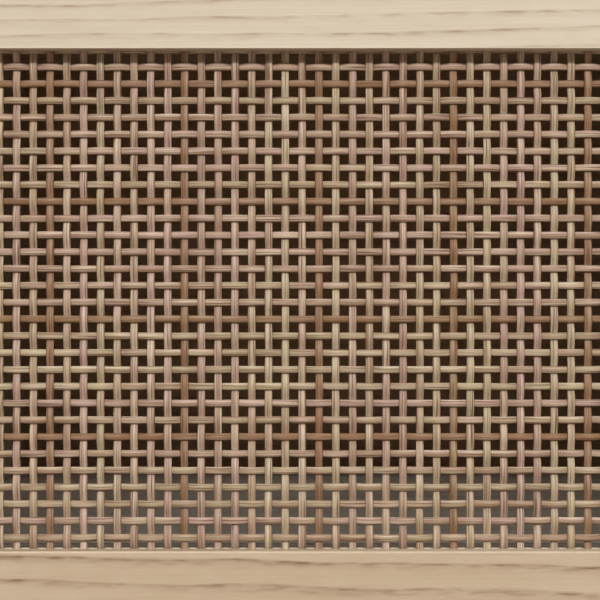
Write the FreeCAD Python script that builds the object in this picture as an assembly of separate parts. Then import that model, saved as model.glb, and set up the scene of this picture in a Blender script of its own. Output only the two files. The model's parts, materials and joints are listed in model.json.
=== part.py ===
"""TV stand: a low three-bay cabinet on splayed turned legs, with a framed door of woven reed on each side.

Millimetres. +Z is up, +X runs along the cabinet, -Y is the front. The origin is on the floor, under the
middle of the overall box. The left half is modelled at negative X, and the right half is its mirror image.
"""

import FreeCAD, Part
import math
import os

Vector = FreeCAD.Vector

# Overall sizes
TOP_LENGTH = 1400.0
TOP_DEPTH = 400.0
STAND_HEIGHT = 480.0
FLOOR_CLEARANCE = 170.0

# Top panel
TOP_THICKNESS = 24.0
TOP_END_OVERHANG = 10.0
TOP_FRONT_OVERHANG = 4.0
TOP_CORNER_RADIUS = 6.0
TOP_EDGE_ROUND = 3.0
TOP_UNDER_ROUND = 1.5

# Carcass panels
SIDE_THICKNESS = 20.0
DIVIDER_THICKNESS = 20.0
BOTTOM_THICKNESS = 25.0
BOTTOM_RECESS = 13.1
BOTTOM_REBATE_DEPTH = 6.0
BOTTOM_REBATE_HEIGHT = 3.0
SIDE_BAY_WIDTH = 380.0
PANEL_ARRIS = 0.8

# Back panels, which lie in a rebate behind the carcass
BACK_THICKNESS = 5.0
BACK_INSET = 4.0
BACK_REBATE = 8.0
BACK_FIT = 0.3

# Cable grommet in the back of the open centre bay
GROMMET_BORE_RADIUS = 25.0
GROMMET_WALL = 4.8
GROMMET_FIT = 0.2
GROMMET_FLANGE_WIDTH = 5.0
GROMMET_FLANGE_THICKNESS = 2.5
GROMMET_FLANGE_CHAMFER = 1.0
GROMMET_HEIGHT = 60.0

# Centre shelf and its pins
SHELF_THICKNESS = 20.0
SHELF_END_FIT = 0.5
SHELF_FRONT_SETBACK = 10.0
SHELF_REAR_GAP = 30.0
SHELF_PIN_HEIGHT = 118.0
SHELF_HOLE_PITCH = 32.0
SHELF_HOLE_ROWS = 3
SHELF_PIN_RADIUS = 2.5
SHELF_PIN_SOCKET = 9.0
SHELF_PIN_REACH = 10.0
SHELF_PIN_COLLAR_RADIUS = 4.0
SHELF_PIN_COLLAR = 1.5
SHELF_PIN_INSET = 60.0
SHELF_SEAT = 0.05

# Dowels, cam fittings and screws that hold the carcass together
DOWEL_RADIUS = 4.0
DOWEL_FACE_DEPTH = 13.0
DOWEL_EDGE_DEPTH = 19.0
DOWEL_INSET = 60.0
JOINT_FIT = 0.05
HOLE_END_GAP = 1.0
CAM_RADIUS = 7.5
CAM_LENGTH = 12.0
CAM_SETBACK = 24.0
CAM_INSET = 95.0
CAM_FIT = 0.1
CAM_SLOT_WIDTH = 2.0
CAM_SLOT_DEPTH = 2.0
CAM_SLOT_LENGTH = 11.0
CAM_BOLT_RADIUS = 3.0
CAM_BOLT_CLEARANCE = 0.5
CAM_BOLT_ANCHOR = 11.0
DIVIDER_SCREW_RADIUS = 3.0
DIVIDER_SCREW_LENGTH = 55.0
DIVIDER_SCREW_HEAD_RADIUS = 5.0
DIVIDER_SCREW_HEAD = 3.5
DIVIDER_SCREW_INSET = 95.0

# Legs
LEG_TOP_RADIUS = 19.0
LEG_FOOT_RADIUS = 11.0
LEG_SPLAY_DEGREES = 8.0
LEG_END_INSET = 95.0
LEG_EDGE_INSET = 72.0
LEG_PLATE_SIZE = 62.0
LEG_PLATE_THICKNESS = 2.5
LEG_PLATE_CORNER = 6.0
HANGER_BOLT_RADIUS = 4.0
HANGER_BOLT_LEG_DEPTH = 36.0
HANGER_BOLT_PANEL_DEPTH = 12.0
GLIDE_THICKNESS = 4.0
GLIDE_RADIUS = 9.0

# Door frames
DOOR_THICKNESS = 20.0
DOOR_TOP_GAP = 3.0
DOOR_BOTTOM_REVEAL = 1.0
DOOR_END_REVEAL = 1.0
RAIL_WIDTH = 37.5
STILE_WIDTH = 37.5
FRAME_ARRIS = 0.4
FRAME_LIP = 8.5
FRAME_REBATE = 10.0
TENON_THICKNESS = 8.0
TENON_LENGTH = 22.0
TENON_SHOULDER = 8.0
TENON_FIT = 0.1

# Woven webbing and the beads that hold it in the rebate
WEBBING_THICKNESS = 3.2
WEBBING_EDGE_FIT = 0.5
WEBBING_PITCH = 15.5
WEBBING_STRAND = 7.0
BEAD_FIT = 0.2
BEAD_ROUND = 3.0

# Butt hinges
HINGE_LENGTH = 50.0
HINGE_END_OFFSET = 30.0
HINGE_LEAF_WIDTH = 17.0
HINGE_LEAF_THICKNESS = 1.2
HINGE_LEAF_GAP = 0.4
HINGE_BARREL_RADIUS = 2.8
HINGE_BARREL_CLEARANCE = 0.4
HINGE_PIN_RADIUS = 1.7
HINGE_PIN_FIT = 0.05
HINGE_PIN_HEAD = 1.2
HINGE_KNUCKLES = 5
HINGE_KNUCKLE_GAP = 0.2

# Knobs
KNOB_PROJECTION = 22.0
KNOB_HEAD_RADIUS = 11.0
KNOB_FACE_RADIUS = 9.2
KNOB_FACE_CHAMFER = 1.4
KNOB_RIM = 4.1
KNOB_UNDERCUT = 3.0
KNOB_NECK_RADIUS = 5.0
KNOB_FOOT_FLARE = 2.0
KNOB_BASE_RADIUS = 7.5
KNOB_BASE_THICKNESS = 2.5
KNOB_DROP = 75.0
KNOB_SCREW_RADIUS = 2.0
KNOB_SCREW_FIT = 0.2
KNOB_SCREW_GRIP = 9.0
KNOB_SCREW_HEAD_RADIUS = 4.0
KNOB_SCREW_HEAD = 2.4
KNOB_SCREW_SINK = 2.8

# Magnetic catches, strike plates and bumpers
CATCH_LENGTH = 46.0
CATCH_DEPTH = 15.0
CATCH_HEIGHT = 13.0
CATCH_ROUND = 2.0
CATCH_DIVIDER_OFFSET = 28.0
CATCH_POLE_LENGTH = 30.0
CATCH_POLE_THICKNESS = 1.6
CATCH_POLE_SPACING = 6.0
CATCH_POLE_DROP = 8.0
CATCH_FRONT_SETBACK = 2.0
CATCH_AIR_GAP = 0.2
STRIKE_LENGTH = 34.0
STRIKE_HEIGHT = 9.0
STRIKE_THICKNESS = 1.2
BUMPER_RADIUS = 4.0
BUMPER_END_INSET = 20.0
BUMPER_CLEARANCE = 0.2

# Places that follow from the sizes, front to back
DOOR_GAP = 2 * HINGE_LEAF_THICKNESS + HINGE_LEAF_GAP
BACK_Y = (TOP_DEPTH + KNOB_PROJECTION - TOP_FRONT_OVERHANG) / 2
TOP_FRONT_Y = BACK_Y - TOP_DEPTH
DOOR_FRONT_Y = TOP_FRONT_Y + TOP_FRONT_OVERHANG
DOOR_BACK_Y = DOOR_FRONT_Y + DOOR_THICKNESS
CARCASS_FRONT_Y = DOOR_BACK_Y + DOOR_GAP
BACK_PANEL_REAR_Y = BACK_Y - BACK_INSET
BACK_PANEL_FRONT_Y = BACK_PANEL_REAR_Y - BACK_THICKNESS
DOWEL_YS = (CARCASS_FRONT_Y + DOWEL_INSET, BACK_PANEL_FRONT_Y - DOWEL_INSET)
CAM_YS = (CARCASS_FRONT_Y + CAM_INSET, BACK_PANEL_FRONT_Y - CAM_INSET)
DIVIDER_SCREW_YS = (CARCASS_FRONT_Y + DIVIDER_SCREW_INSET, BACK_PANEL_FRONT_Y - DIVIDER_SCREW_INSET)
SHELF_FRONT_Y = CARCASS_FRONT_Y + SHELF_FRONT_SETBACK
SHELF_REAR_Y = BACK_PANEL_FRONT_Y - SHELF_REAR_GAP
SHELF_PIN_YS = (SHELF_FRONT_Y + SHELF_PIN_INSET, SHELF_REAR_Y - SHELF_PIN_INSET)

# Places that follow from the sizes, bottom to top
BOTTOM_Z0 = FLOOR_CLEARANCE + BOTTOM_RECESS
BOTTOM_Z1 = BOTTOM_Z0 + BOTTOM_THICKNESS
TOP_Z0 = STAND_HEIGHT - TOP_THICKNESS
DOOR_Z0 = FLOOR_CLEARANCE + DOOR_BOTTOM_REVEAL
DOOR_Z1 = TOP_Z0 - DOOR_TOP_GAP
SIGHT_Z0 = DOOR_Z0 + RAIL_WIDTH
SIGHT_Z1 = DOOR_Z1 - RAIL_WIDTH
LEG_PLATE_Z0 = BOTTOM_Z0 - LEG_PLATE_THICKNESS
SHELF_PIN_Z = BOTTOM_Z1 + SHELF_PIN_HEIGHT
SHELF_Z0 = SHELF_PIN_Z + SHELF_PIN_RADIUS + SHELF_SEAT
GROMMET_Z = BOTTOM_Z1 + GROMMET_HEIGHT

# Places that follow from the sizes, along the left half
SIDE_OUTER_X = -(TOP_LENGTH / 2 - TOP_END_OVERHANG)
SIDE_INNER_X = SIDE_OUTER_X + SIDE_THICKNESS
DIVIDER_BAY_X = SIDE_INNER_X + SIDE_BAY_WIDTH
DIVIDER_CENTRE_X = DIVIDER_BAY_X + DIVIDER_THICKNESS / 2
DIVIDER_INNER_X = DIVIDER_BAY_X + DIVIDER_THICKNESS
DOOR_X0 = SIDE_OUTER_X + DOOR_END_REVEAL
DOOR_X1 = DIVIDER_INNER_X - DOOR_END_REVEAL
SIGHT_X0 = DOOR_X0 + STILE_WIDTH
SIGHT_X1 = DOOR_X1 - STILE_WIDTH
HINGE_X = SIDE_OUTER_X - HINGE_BARREL_RADIUS - HINGE_BARREL_CLEARANCE
HINGE_Y = DOOR_BACK_Y + DOOR_GAP / 2
HINGE_ZS = (DOOR_Z0 + HINGE_END_OFFSET, DOOR_Z1 - HINGE_END_OFFSET - HINGE_LENGTH)
KNOB_X = DOOR_X1 - STILE_WIDTH / 2
KNOB_Z = DOOR_Z1 - KNOB_DROP
CATCH_X1 = DIVIDER_BAY_X - CATCH_DIVIDER_OFFSET
CATCH_X = CATCH_X1 - CATCH_LENGTH / 2
CATCH_Z = TOP_Z0 - CATCH_POLE_DROP


# Shared helpers

def box(x0, x1, y0, y1, z0, z1):
    """A box between two opposite corners."""
    return Part.makeBox(x1 - x0, y1 - y0, z1 - z0, Vector(x0, y0, z0))


def rod(radius, start, end):
    """A cylinder of that radius from one point to another."""
    axis = end.sub(start)
    return Part.makeCylinder(radius, axis.Length, start, axis)


def union(first, *others):
    """One solid out of several that touch or overlap."""
    return first.multiFuse(list(others)).removeSplitter()


def mirrored(shape):
    """The same piece on the other half of the cabinet."""
    return shape.mirror(Vector(0, 0, 0), Vector(1, 0, 0))


def both(shapes):
    """Pieces of the left half with their mirror images."""
    return list(shapes) + [mirrored(shape) for shape in shapes]


def edges_on(shape, axis, **places):
    """The straight edges that run along one axis and lie at the given places on the other axes."""
    direction = {"x": Vector(1, 0, 0), "y": Vector(0, 1, 0), "z": Vector(0, 0, 1)}[axis]
    found = []
    for edge in shape.Edges:
        ends = [vertex.Point for vertex in edge.Vertexes]
        if len(ends) != 2 or edge.Length < 1e-6:
            continue
        along = ends[1].sub(ends[0])
        straight = along.cross(direction).Length < 1e-6 * along.Length
        placed = all(abs(getattr(end, name) - value) < 1e-6 for end in ends for name, value in places.items())
        if straight and placed:
            found.append(edge)
    return found


def eased(shape, radius, *groups):
    """The shape with the edges of those groups rounded."""
    return shape.makeFillet(radius, [edge for group in groups for edge in group])


def rings_at(shape, radius, *depths):
    """The circular edges of one radius, round a front-to-back axis, at the given depths."""
    rings = [edge for edge in shape.Edges if not edge.Degenerated and isinstance(edge.Curve, Part.Circle)]
    rings = [edge for edge in rings if abs(edge.Curve.Radius - radius) < 1e-6]
    return [edge for edge in rings if any(abs(edge.Curve.Center.y - depth) < 1e-6 for depth in depths)]


def export(name, *solids):
    """Writes one node's solids to its STEP file."""
    shape = solids[0] if len(solids) == 1 else Part.makeCompound(list(solids))
    shape.exportStep(os.path.join("parts", name + ".step"))


# Fittings of the carcass: each gives its solid and, where it needs one, the hole that takes it

def dowel_between(face_point, into_face):
    """A dowel and its hole at a point of a joint: into the face one way, into the edge the other way."""
    into_face = Vector(into_face)
    start = face_point.add(into_face * (DOWEL_FACE_DEPTH - HOLE_END_GAP))
    end = face_point.sub(into_face * (DOWEL_EDGE_DEPTH - HOLE_END_GAP))
    hole_start = face_point.add(into_face * DOWEL_FACE_DEPTH)
    hole_end = face_point.sub(into_face * DOWEL_EDGE_DEPTH)
    return rod(DOWEL_RADIUS, start, end), rod(DOWEL_RADIUS + JOINT_FIT, hole_start, hole_end)


def carcass_dowels():
    """All dowels of the left half as (dowel, hole) pairs, by the joint that they hold."""
    up, outward, down = Vector(0, 0, 1), Vector(-1, 0, 0), Vector(0, 0, -1)
    side_x = (SIDE_OUTER_X + SIDE_INNER_X) / 2
    bottom_z = (BOTTOM_Z0 + BOTTOM_Z1) / 2
    return {
        "top_side": [dowel_between(Vector(side_x, y, TOP_Z0), up) for y in DOWEL_YS],
        "top_divider": [dowel_between(Vector(DIVIDER_CENTRE_X, y, TOP_Z0), up) for y in DOWEL_YS],
        "bottom_side": [dowel_between(Vector(SIDE_INNER_X, y, bottom_z), outward) for y in DOWEL_YS],
        "bottom_divider": [dowel_between(Vector(DIVIDER_CENTRE_X, y, BOTTOM_Z1), down) for y in DOWEL_YS],
    }


def cam_fitting(face_x, inward, y):
    """A cam disc let into a panel's face, its bolt up into the top panel, and the three holes for them."""
    centre_z = TOP_Z0 - CAM_SETBACK
    face = Vector(face_x, y, centre_z)
    into = Vector(inward, 0, 0)
    bolt_x = face_x + inward * CAM_LENGTH / 2
    bolt_foot = Vector(bolt_x, y, centre_z)
    bolt_head = Vector(bolt_x, y, TOP_Z0 + CAM_BOLT_ANCHOR)
    clear_radius = CAM_BOLT_RADIUS + CAM_BOLT_CLEARANCE
    clear_foot = Vector(bolt_x, y, centre_z - CAM_BOLT_CLEARANCE)
    bolt_way = rod(clear_radius, clear_foot, Vector(bolt_x, y, TOP_Z0))
    slot_far_x = face_x + inward * CAM_SLOT_DEPTH
    slot = box(
        min(face_x, slot_far_x), max(face_x, slot_far_x),
        y - CAM_SLOT_WIDTH / 2, y + CAM_SLOT_WIDTH / 2,
        centre_z - CAM_SLOT_LENGTH / 2, centre_z + CAM_SLOT_LENGTH / 2,
    )
    disc = rod(CAM_RADIUS, face, face.add(into * CAM_LENGTH)).cut([bolt_way, slot])
    bolt = rod(CAM_BOLT_RADIUS, bolt_foot, bolt_head)
    pocket = rod(CAM_RADIUS + CAM_FIT, face, face.add(into * (CAM_LENGTH + CAM_FIT)))
    anchor_end = bolt_head.add(Vector(0, 0, HOLE_END_GAP))
    anchor = rod(CAM_BOLT_RADIUS + JOINT_FIT, Vector(bolt_x, y, TOP_Z0), anchor_end)
    return {"disc": disc, "bolt": bolt, "panel_holes": [pocket, bolt_way], "top_hole": anchor}


def side_cams():
    """The cam fittings of the left side panel."""
    return [cam_fitting(SIDE_INNER_X, -1, y) for y in CAM_YS]


def divider_cams():
    """The cam fittings of the left divider, on its face to the side bay."""
    return [cam_fitting(DIVIDER_BAY_X, 1, y) for y in CAM_YS]


def divider_screw(y):
    """A screw from under the bottom panel into the left divider, and its hole."""
    head_foot = Vector(DIVIDER_CENTRE_X, y, BOTTOM_Z0)
    head_top = head_foot.add(Vector(0, 0, DIVIDER_SCREW_HEAD))
    tip = head_foot.add(Vector(0, 0, DIVIDER_SCREW_LENGTH))
    head = rod(DIVIDER_SCREW_HEAD_RADIUS, head_foot, head_top)
    screw = union(head, rod(DIVIDER_SCREW_RADIUS, head_top, tip))
    hole_tip = tip.add(Vector(0, 0, HOLE_END_GAP))
    hole = union(
        rod(DIVIDER_SCREW_HEAD_RADIUS + JOINT_FIT, head_foot, head_top.add(Vector(0, 0, JOINT_FIT))),
        rod(DIVIDER_SCREW_RADIUS + JOINT_FIT, head_top, hole_tip),
    )
    return screw, hole


def shelf_pin(y):
    """A pin in the left divider that carries the centre shelf."""
    socket_end = Vector(DIVIDER_INNER_X - SHELF_PIN_SOCKET, y, SHELF_PIN_Z)
    face = Vector(DIVIDER_INNER_X, y, SHELF_PIN_Z)
    collar_end = face.add(Vector(SHELF_PIN_COLLAR, 0, 0))
    reach_end = face.add(Vector(SHELF_PIN_REACH, 0, 0))
    stub = rod(SHELF_PIN_RADIUS, socket_end, face)
    collar = rod(SHELF_PIN_COLLAR_RADIUS, face, collar_end)
    peg = rod(SHELF_PIN_RADIUS, collar_end, reach_end)
    return union(stub, collar, peg)


def shelf_holes():
    """The rows of pin holes in the left divider, for setting the shelf higher or lower."""
    half_rows = (SHELF_HOLE_ROWS - 1) / 2
    depth = Vector(SHELF_PIN_SOCKET + HOLE_END_GAP, 0, 0)
    holes = []
    for y in SHELF_PIN_YS:
        for row in range(SHELF_HOLE_ROWS):
            mouth = Vector(DIVIDER_INNER_X, y, SHELF_PIN_Z + (row - half_rows) * SHELF_HOLE_PITCH)
            holes.append(rod(SHELF_PIN_RADIUS + JOINT_FIT, mouth.sub(depth), mouth))
    return holes


# Legs

class Leg:
    """One splayed leg with its plate, hanger bolt and glide. The signs say which corner it stands at."""

    def __init__(self, x_sign, y_sign):
        slope = math.tan(math.radians(LEG_SPLAY_DEGREES))
        front_y = CARCASS_FRONT_Y + LEG_EDGE_INSET
        rear_y = BACK_PANEL_FRONT_Y - LEG_EDGE_INSET
        x = x_sign * (abs(SIDE_OUTER_X) - LEG_END_INSET)
        self.top = Vector(x, rear_y if y_sign > 0 else front_y, LEG_PLATE_Z0)
        self.up = Vector(-x_sign * slope, -y_sign * slope, 1).normalize()
        self.length = (LEG_PLATE_Z0 - GLIDE_THICKNESS) / self.up.z
        self.foot = self.top.sub(self.up * self.length)

    def along(self, distance):
        """The point of the leg's axis that far above its top face."""
        return self.top.add(self.up * distance)

    def hanger_bolt(self):
        """The bolt from the leg through its plate into the bottom panel."""
        return rod(HANGER_BOLT_RADIUS, self.along(-HANGER_BOLT_LEG_DEPTH), self.along(self.bolt_reach()))

    def bolt_reach(self):
        """How far the bolt stands out of the leg's top face."""
        return (LEG_PLATE_THICKNESS + HANGER_BOLT_PANEL_DEPTH) / self.up.z

    def bolt_hole(self):
        """The hole for the bolt through leg, plate and panel."""
        foot = self.along(-HANGER_BOLT_LEG_DEPTH - HOLE_END_GAP)
        return rod(HANGER_BOLT_RADIUS + JOINT_FIT, foot, self.along(self.bolt_reach() + HOLE_END_GAP))

    def turned_leg(self):
        """The turned and straight-tapered leg, cut level at the plate and at the glide."""
        spare = LEG_TOP_RADIUS
        spare_taper = (LEG_TOP_RADIUS - LEG_FOOT_RADIUS) / self.length * spare
        turned = Part.makeCone(
            LEG_FOOT_RADIUS - spare_taper, LEG_TOP_RADIUS + spare_taper, self.length + 2 * spare,
            self.along(-self.length - spare), self.up,
        )
        reach = self.length + LEG_TOP_RADIUS
        level = box(
            self.top.x - reach, self.top.x + reach, self.top.y - reach, self.top.y + reach,
            GLIDE_THICKNESS, LEG_PLATE_Z0,
        )
        return turned.common(level).cut(self.bolt_hole())

    def plate(self):
        """The steel plate between the leg and the bottom panel."""
        half = LEG_PLATE_SIZE / 2
        x, y = self.top.x, self.top.y
        plate = box(x - half, x + half, y - half, y + half, LEG_PLATE_Z0, BOTTOM_Z0)
        return eased(plate, LEG_PLATE_CORNER, edges_on(plate, "z")).cut(self.bolt_hole())

    def glide(self):
        """The disc under the foot."""
        floor = Vector(self.foot.x, self.foot.y, 0)
        return rod(GLIDE_RADIUS, floor, floor.add(Vector(0, 0, GLIDE_THICKNESS)))


LEGS = {
    "leg_front_left": Leg(-1, -1),
    "leg_front_right": Leg(1, -1),
    "leg_rear_left": Leg(-1, 1),
    "leg_rear_right": Leg(1, 1),
}


# Carcass panels

def top_panel():
    """The top, with rounded corners and edges and the blind holes for dowels and cam bolts."""
    half = TOP_LENGTH / 2
    panel = box(-half, half, TOP_FRONT_Y, BACK_Y, TOP_Z0, STAND_HEIGHT)
    panel = eased(panel, TOP_CORNER_RADIUS, edges_on(panel, "z"))
    upper = [edge for edge in panel.Edges if abs(edge.BoundBox.ZMin - STAND_HEIGHT) < 1e-6]
    panel = panel.makeFillet(TOP_EDGE_ROUND, upper)
    lower = [edge for edge in panel.Edges if abs(edge.BoundBox.ZMax - TOP_Z0) < 1e-6]
    panel = panel.makeFillet(TOP_UNDER_ROUND, lower)
    dowels = carcass_dowels()
    holes = [hole for joint in ("top_side", "top_divider") for dowel, hole in dowels[joint]]
    holes += [cam["top_hole"] for cam in side_cams() + divider_cams()]
    return panel.cut(both(holes))


def bottom_rebates():
    """The steps along the bottom's front edge behind the doors, which leave a shadow line over their sills."""
    rebate = box(
        SIDE_INNER_X, DIVIDER_BAY_X, CARCASS_FRONT_Y, CARCASS_FRONT_Y + BOTTOM_REBATE_DEPTH,
        BOTTOM_Z1 - BOTTOM_REBATE_HEIGHT, BOTTOM_Z1,
    )
    return both([rebate])


def bottom_panel():
    """The bottom, between the sides, with its front rebates and its dowel, screw and leg-bolt holes."""
    panel = box(SIDE_INNER_X, -SIDE_INNER_X, CARCASS_FRONT_Y, BACK_PANEL_FRONT_Y, BOTTOM_Z0, BOTTOM_Z1)
    panel = eased(panel, PANEL_ARRIS, edges_on(panel, "x", y=CARCASS_FRONT_Y))
    dowels = carcass_dowels()
    holes = [hole for joint in ("bottom_side", "bottom_divider") for dowel, hole in dowels[joint]]
    holes += [divider_screw(y)[1] for y in DIVIDER_SCREW_YS]
    return panel.cut(bottom_rebates() + both(holes) + [leg.bolt_hole() for leg in LEGS.values()])


def left_side_panel():
    """The left side, rebated at the rear for the back panel."""
    panel = box(SIDE_OUTER_X, SIDE_INNER_X, CARCASS_FRONT_Y, BACK_Y, FLOOR_CLEARANCE, TOP_Z0)
    panel = eased(
        panel, PANEL_ARRIS,
        edges_on(panel, "z", x=SIDE_OUTER_X), edges_on(panel, "y", x=SIDE_OUTER_X, z=FLOOR_CLEARANCE),
    )
    rebate = box(SIDE_INNER_X - BACK_REBATE, SIDE_INNER_X, BACK_PANEL_FRONT_Y, BACK_Y, BOTTOM_Z0, TOP_Z0)
    dowels = carcass_dowels()
    holes = [hole for joint in ("top_side", "bottom_side") for dowel, hole in dowels[joint]]
    holes += [hole for cam in side_cams() for hole in cam["panel_holes"]]
    return panel.cut([rebate] + holes)


def left_divider():
    """The left divider, with the shelf pin holes on its face to the centre bay."""
    panel = box(DIVIDER_BAY_X, DIVIDER_INNER_X, CARCASS_FRONT_Y, BACK_PANEL_FRONT_Y, BOTTOM_Z1, TOP_Z0)
    panel = eased(panel, PANEL_ARRIS, edges_on(panel, "z", y=CARCASS_FRONT_Y))
    dowels = carcass_dowels()
    holes = [hole for joint in ("top_divider", "bottom_divider") for dowel, hole in dowels[joint]]
    holes += [hole for cam in divider_cams() for hole in cam["panel_holes"]]
    holes += [divider_screw(y)[1] for y in DIVIDER_SCREW_YS]
    return panel.cut(holes + shelf_holes())


def left_back_panel():
    """The thin back panel of the left bay, from the rebate of the side to the middle of the divider."""
    x0, x1 = SIDE_INNER_X - BACK_REBATE + BACK_FIT, DIVIDER_CENTRE_X - BACK_FIT / 2
    return box(x0, x1, BACK_PANEL_FRONT_Y, BACK_PANEL_REAR_Y, BOTTOM_Z0, TOP_Z0)


def centre_back_panel():
    """The thin back panel of the centre bay, with the cable hole."""
    half = abs(DIVIDER_CENTRE_X) - BACK_FIT / 2
    sheet = box(-half, half, BACK_PANEL_FRONT_Y, BACK_PANEL_REAR_Y, BOTTOM_Z0, TOP_Z0)
    hole_radius = GROMMET_BORE_RADIUS + GROMMET_WALL + GROMMET_FIT
    front = Vector(0, BACK_PANEL_FRONT_Y, GROMMET_Z)
    rear = Vector(0, BACK_PANEL_REAR_Y, GROMMET_Z)
    return sheet.cut(rod(hole_radius, front, rear))


def cable_grommet():
    """The moulded ring that lines the cable hole, with its flange behind the back panel."""
    front = Vector(0, BACK_PANEL_FRONT_Y, GROMMET_Z)
    rear = Vector(0, BACK_PANEL_REAR_Y, GROMMET_Z)
    flange_rear = rear.add(Vector(0, GROMMET_FLANGE_THICKNESS, 0))
    barrel_radius = GROMMET_BORE_RADIUS + GROMMET_WALL
    flange_radius = barrel_radius + GROMMET_FIT + GROMMET_FLANGE_WIDTH
    flange = rod(flange_radius, rear, flange_rear)
    flange = flange.makeChamfer(GROMMET_FLANGE_CHAMFER, rings_at(flange, flange_radius, flange_rear.y))
    return union(rod(barrel_radius, front, rear), flange).cut(rod(GROMMET_BORE_RADIUS, front, flange_rear))


def centre_shelf():
    """The adjustable shelf between the dividers, short of the back so that cables can drop behind it."""
    half = abs(DIVIDER_INNER_X) - SHELF_PIN_COLLAR - SHELF_END_FIT
    shelf = box(-half, half, SHELF_FRONT_Y, SHELF_REAR_Y, SHELF_Z0, SHELF_Z0 + SHELF_THICKNESS)
    return eased(shelf, PANEL_ARRIS, edges_on(shelf, "x", y=SHELF_FRONT_Y))


# Doors

def tenon(end_x, outward, outer_z, inner_z, extra=0.0):
    """The stub on a rail's end, or with extra the mortise for it: outward is the way that it points."""
    tip_x = end_x + outward * (TENON_LENGTH + extra)
    front = DOOR_FRONT_Y + (DOOR_THICKNESS - TENON_THICKNESS) / 2
    z0, z1 = sorted((outer_z, inner_z))
    return box(
        min(end_x, tip_x), max(end_x, tip_x),
        front - extra, front + TENON_THICKNESS + extra, z0 - extra, z1 + extra,
    )


def tenon_levels():
    """The outer and inner heights of the tenons of the bottom rail and of the top rail."""
    return {
        "bottom": (DOOR_Z0 + TENON_SHOULDER, SIGHT_Z0 - FRAME_REBATE),
        "top": (DOOR_Z1 - TENON_SHOULDER, SIGHT_Z1 + FRAME_REBATE),
    }


def webbing_rebate():
    """The space behind the lip of the whole frame, where webbing and beads go."""
    return box(
        SIGHT_X0 - FRAME_REBATE, SIGHT_X1 + FRAME_REBATE, DOOR_FRONT_Y + FRAME_LIP, DOOR_BACK_Y,
        SIGHT_Z0 - FRAME_REBATE, SIGHT_Z1 + FRAME_REBATE,
    )


def left_strike_plate():
    """The steel plate on the back of the left door's top rail, opposite the catch."""
    return box(
        CATCH_X - STRIKE_LENGTH / 2, CATCH_X + STRIKE_LENGTH / 2, DOOR_BACK_Y, DOOR_BACK_Y + STRIKE_THICKNESS,
        CATCH_Z - STRIKE_HEIGHT / 2, CATCH_Z + STRIKE_HEIGHT / 2,
    )


def left_rail(level):
    """The top or bottom rail of the left door, with a tenon on each end."""
    z0, z1 = (DOOR_Z0, SIGHT_Z0) if level == "bottom" else (SIGHT_Z1, DOOR_Z1)
    rail = box(SIGHT_X0, SIGHT_X1, DOOR_FRONT_Y, DOOR_BACK_Y, z0, z1)
    rail = eased(rail, FRAME_ARRIS, edges_on(rail, "x", y=DOOR_FRONT_Y)).cut(webbing_rebate())
    outer, inner = tenon_levels()[level]
    return union(rail, tenon(SIGHT_X0, -1, outer, inner), tenon(SIGHT_X1, 1, outer, inner))


def left_stile(place):
    """The hinge stile or closing stile of the left door, mortised for both rails."""
    x0, x1 = (DOOR_X0, SIGHT_X0) if place == "hinge" else (SIGHT_X1, DOOR_X1)
    end_x, outward = (SIGHT_X0, -1) if place == "hinge" else (SIGHT_X1, 1)
    stile = box(x0, x1, DOOR_FRONT_Y, DOOR_BACK_Y, DOOR_Z0, DOOR_Z1)
    stile = eased(
        stile, FRAME_ARRIS,
        edges_on(stile, "z", y=DOOR_FRONT_Y), edges_on(stile, "x", y=DOOR_FRONT_Y),
    )
    mortises = [tenon(end_x, outward, outer, inner, TENON_FIT) for outer, inner in tenon_levels().values()]
    stile = stile.cut([webbing_rebate()] + mortises)
    return stile.cut(knob_hole()) if place == "closing" else stile


def left_webbing():
    """The woven panel: one holed sheet whose gaps stand for the gaps of the weave."""
    rebate = webbing_rebate().BoundBox
    front_y = DOOR_FRONT_Y + FRAME_LIP

    def rectangle(x0, x1, z0, z1):
        corners = [(x0, z0), (x1, z0), (x1, z1), (x0, z1), (x0, z0)]
        return Part.makePolygon([Vector(x, front_y, z) for x, z in corners])

    def gap_starts(low, high):
        count = int((high - low) // WEBBING_PITCH)
        first = (low + high - count * WEBBING_PITCH + WEBBING_STRAND) / 2
        return [first + index * WEBBING_PITCH for index in range(count)]

    gap = WEBBING_PITCH - WEBBING_STRAND
    outline = rectangle(
        rebate.XMin + WEBBING_EDGE_FIT, rebate.XMax - WEBBING_EDGE_FIT,
        rebate.ZMin + WEBBING_EDGE_FIT, rebate.ZMax - WEBBING_EDGE_FIT,
    )
    gaps = [
        rectangle(x, x + gap, z, z + gap)
        for x in gap_starts(SIGHT_X0, SIGHT_X1) for z in gap_starts(SIGHT_Z0, SIGHT_Z1)
    ]
    sheet = Part.makeFace([outline] + gaps, "Part::FaceMakerBullseye")
    return sheet.extrude(Vector(0, WEBBING_THICKNESS, 0)).Solids[0]


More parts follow.
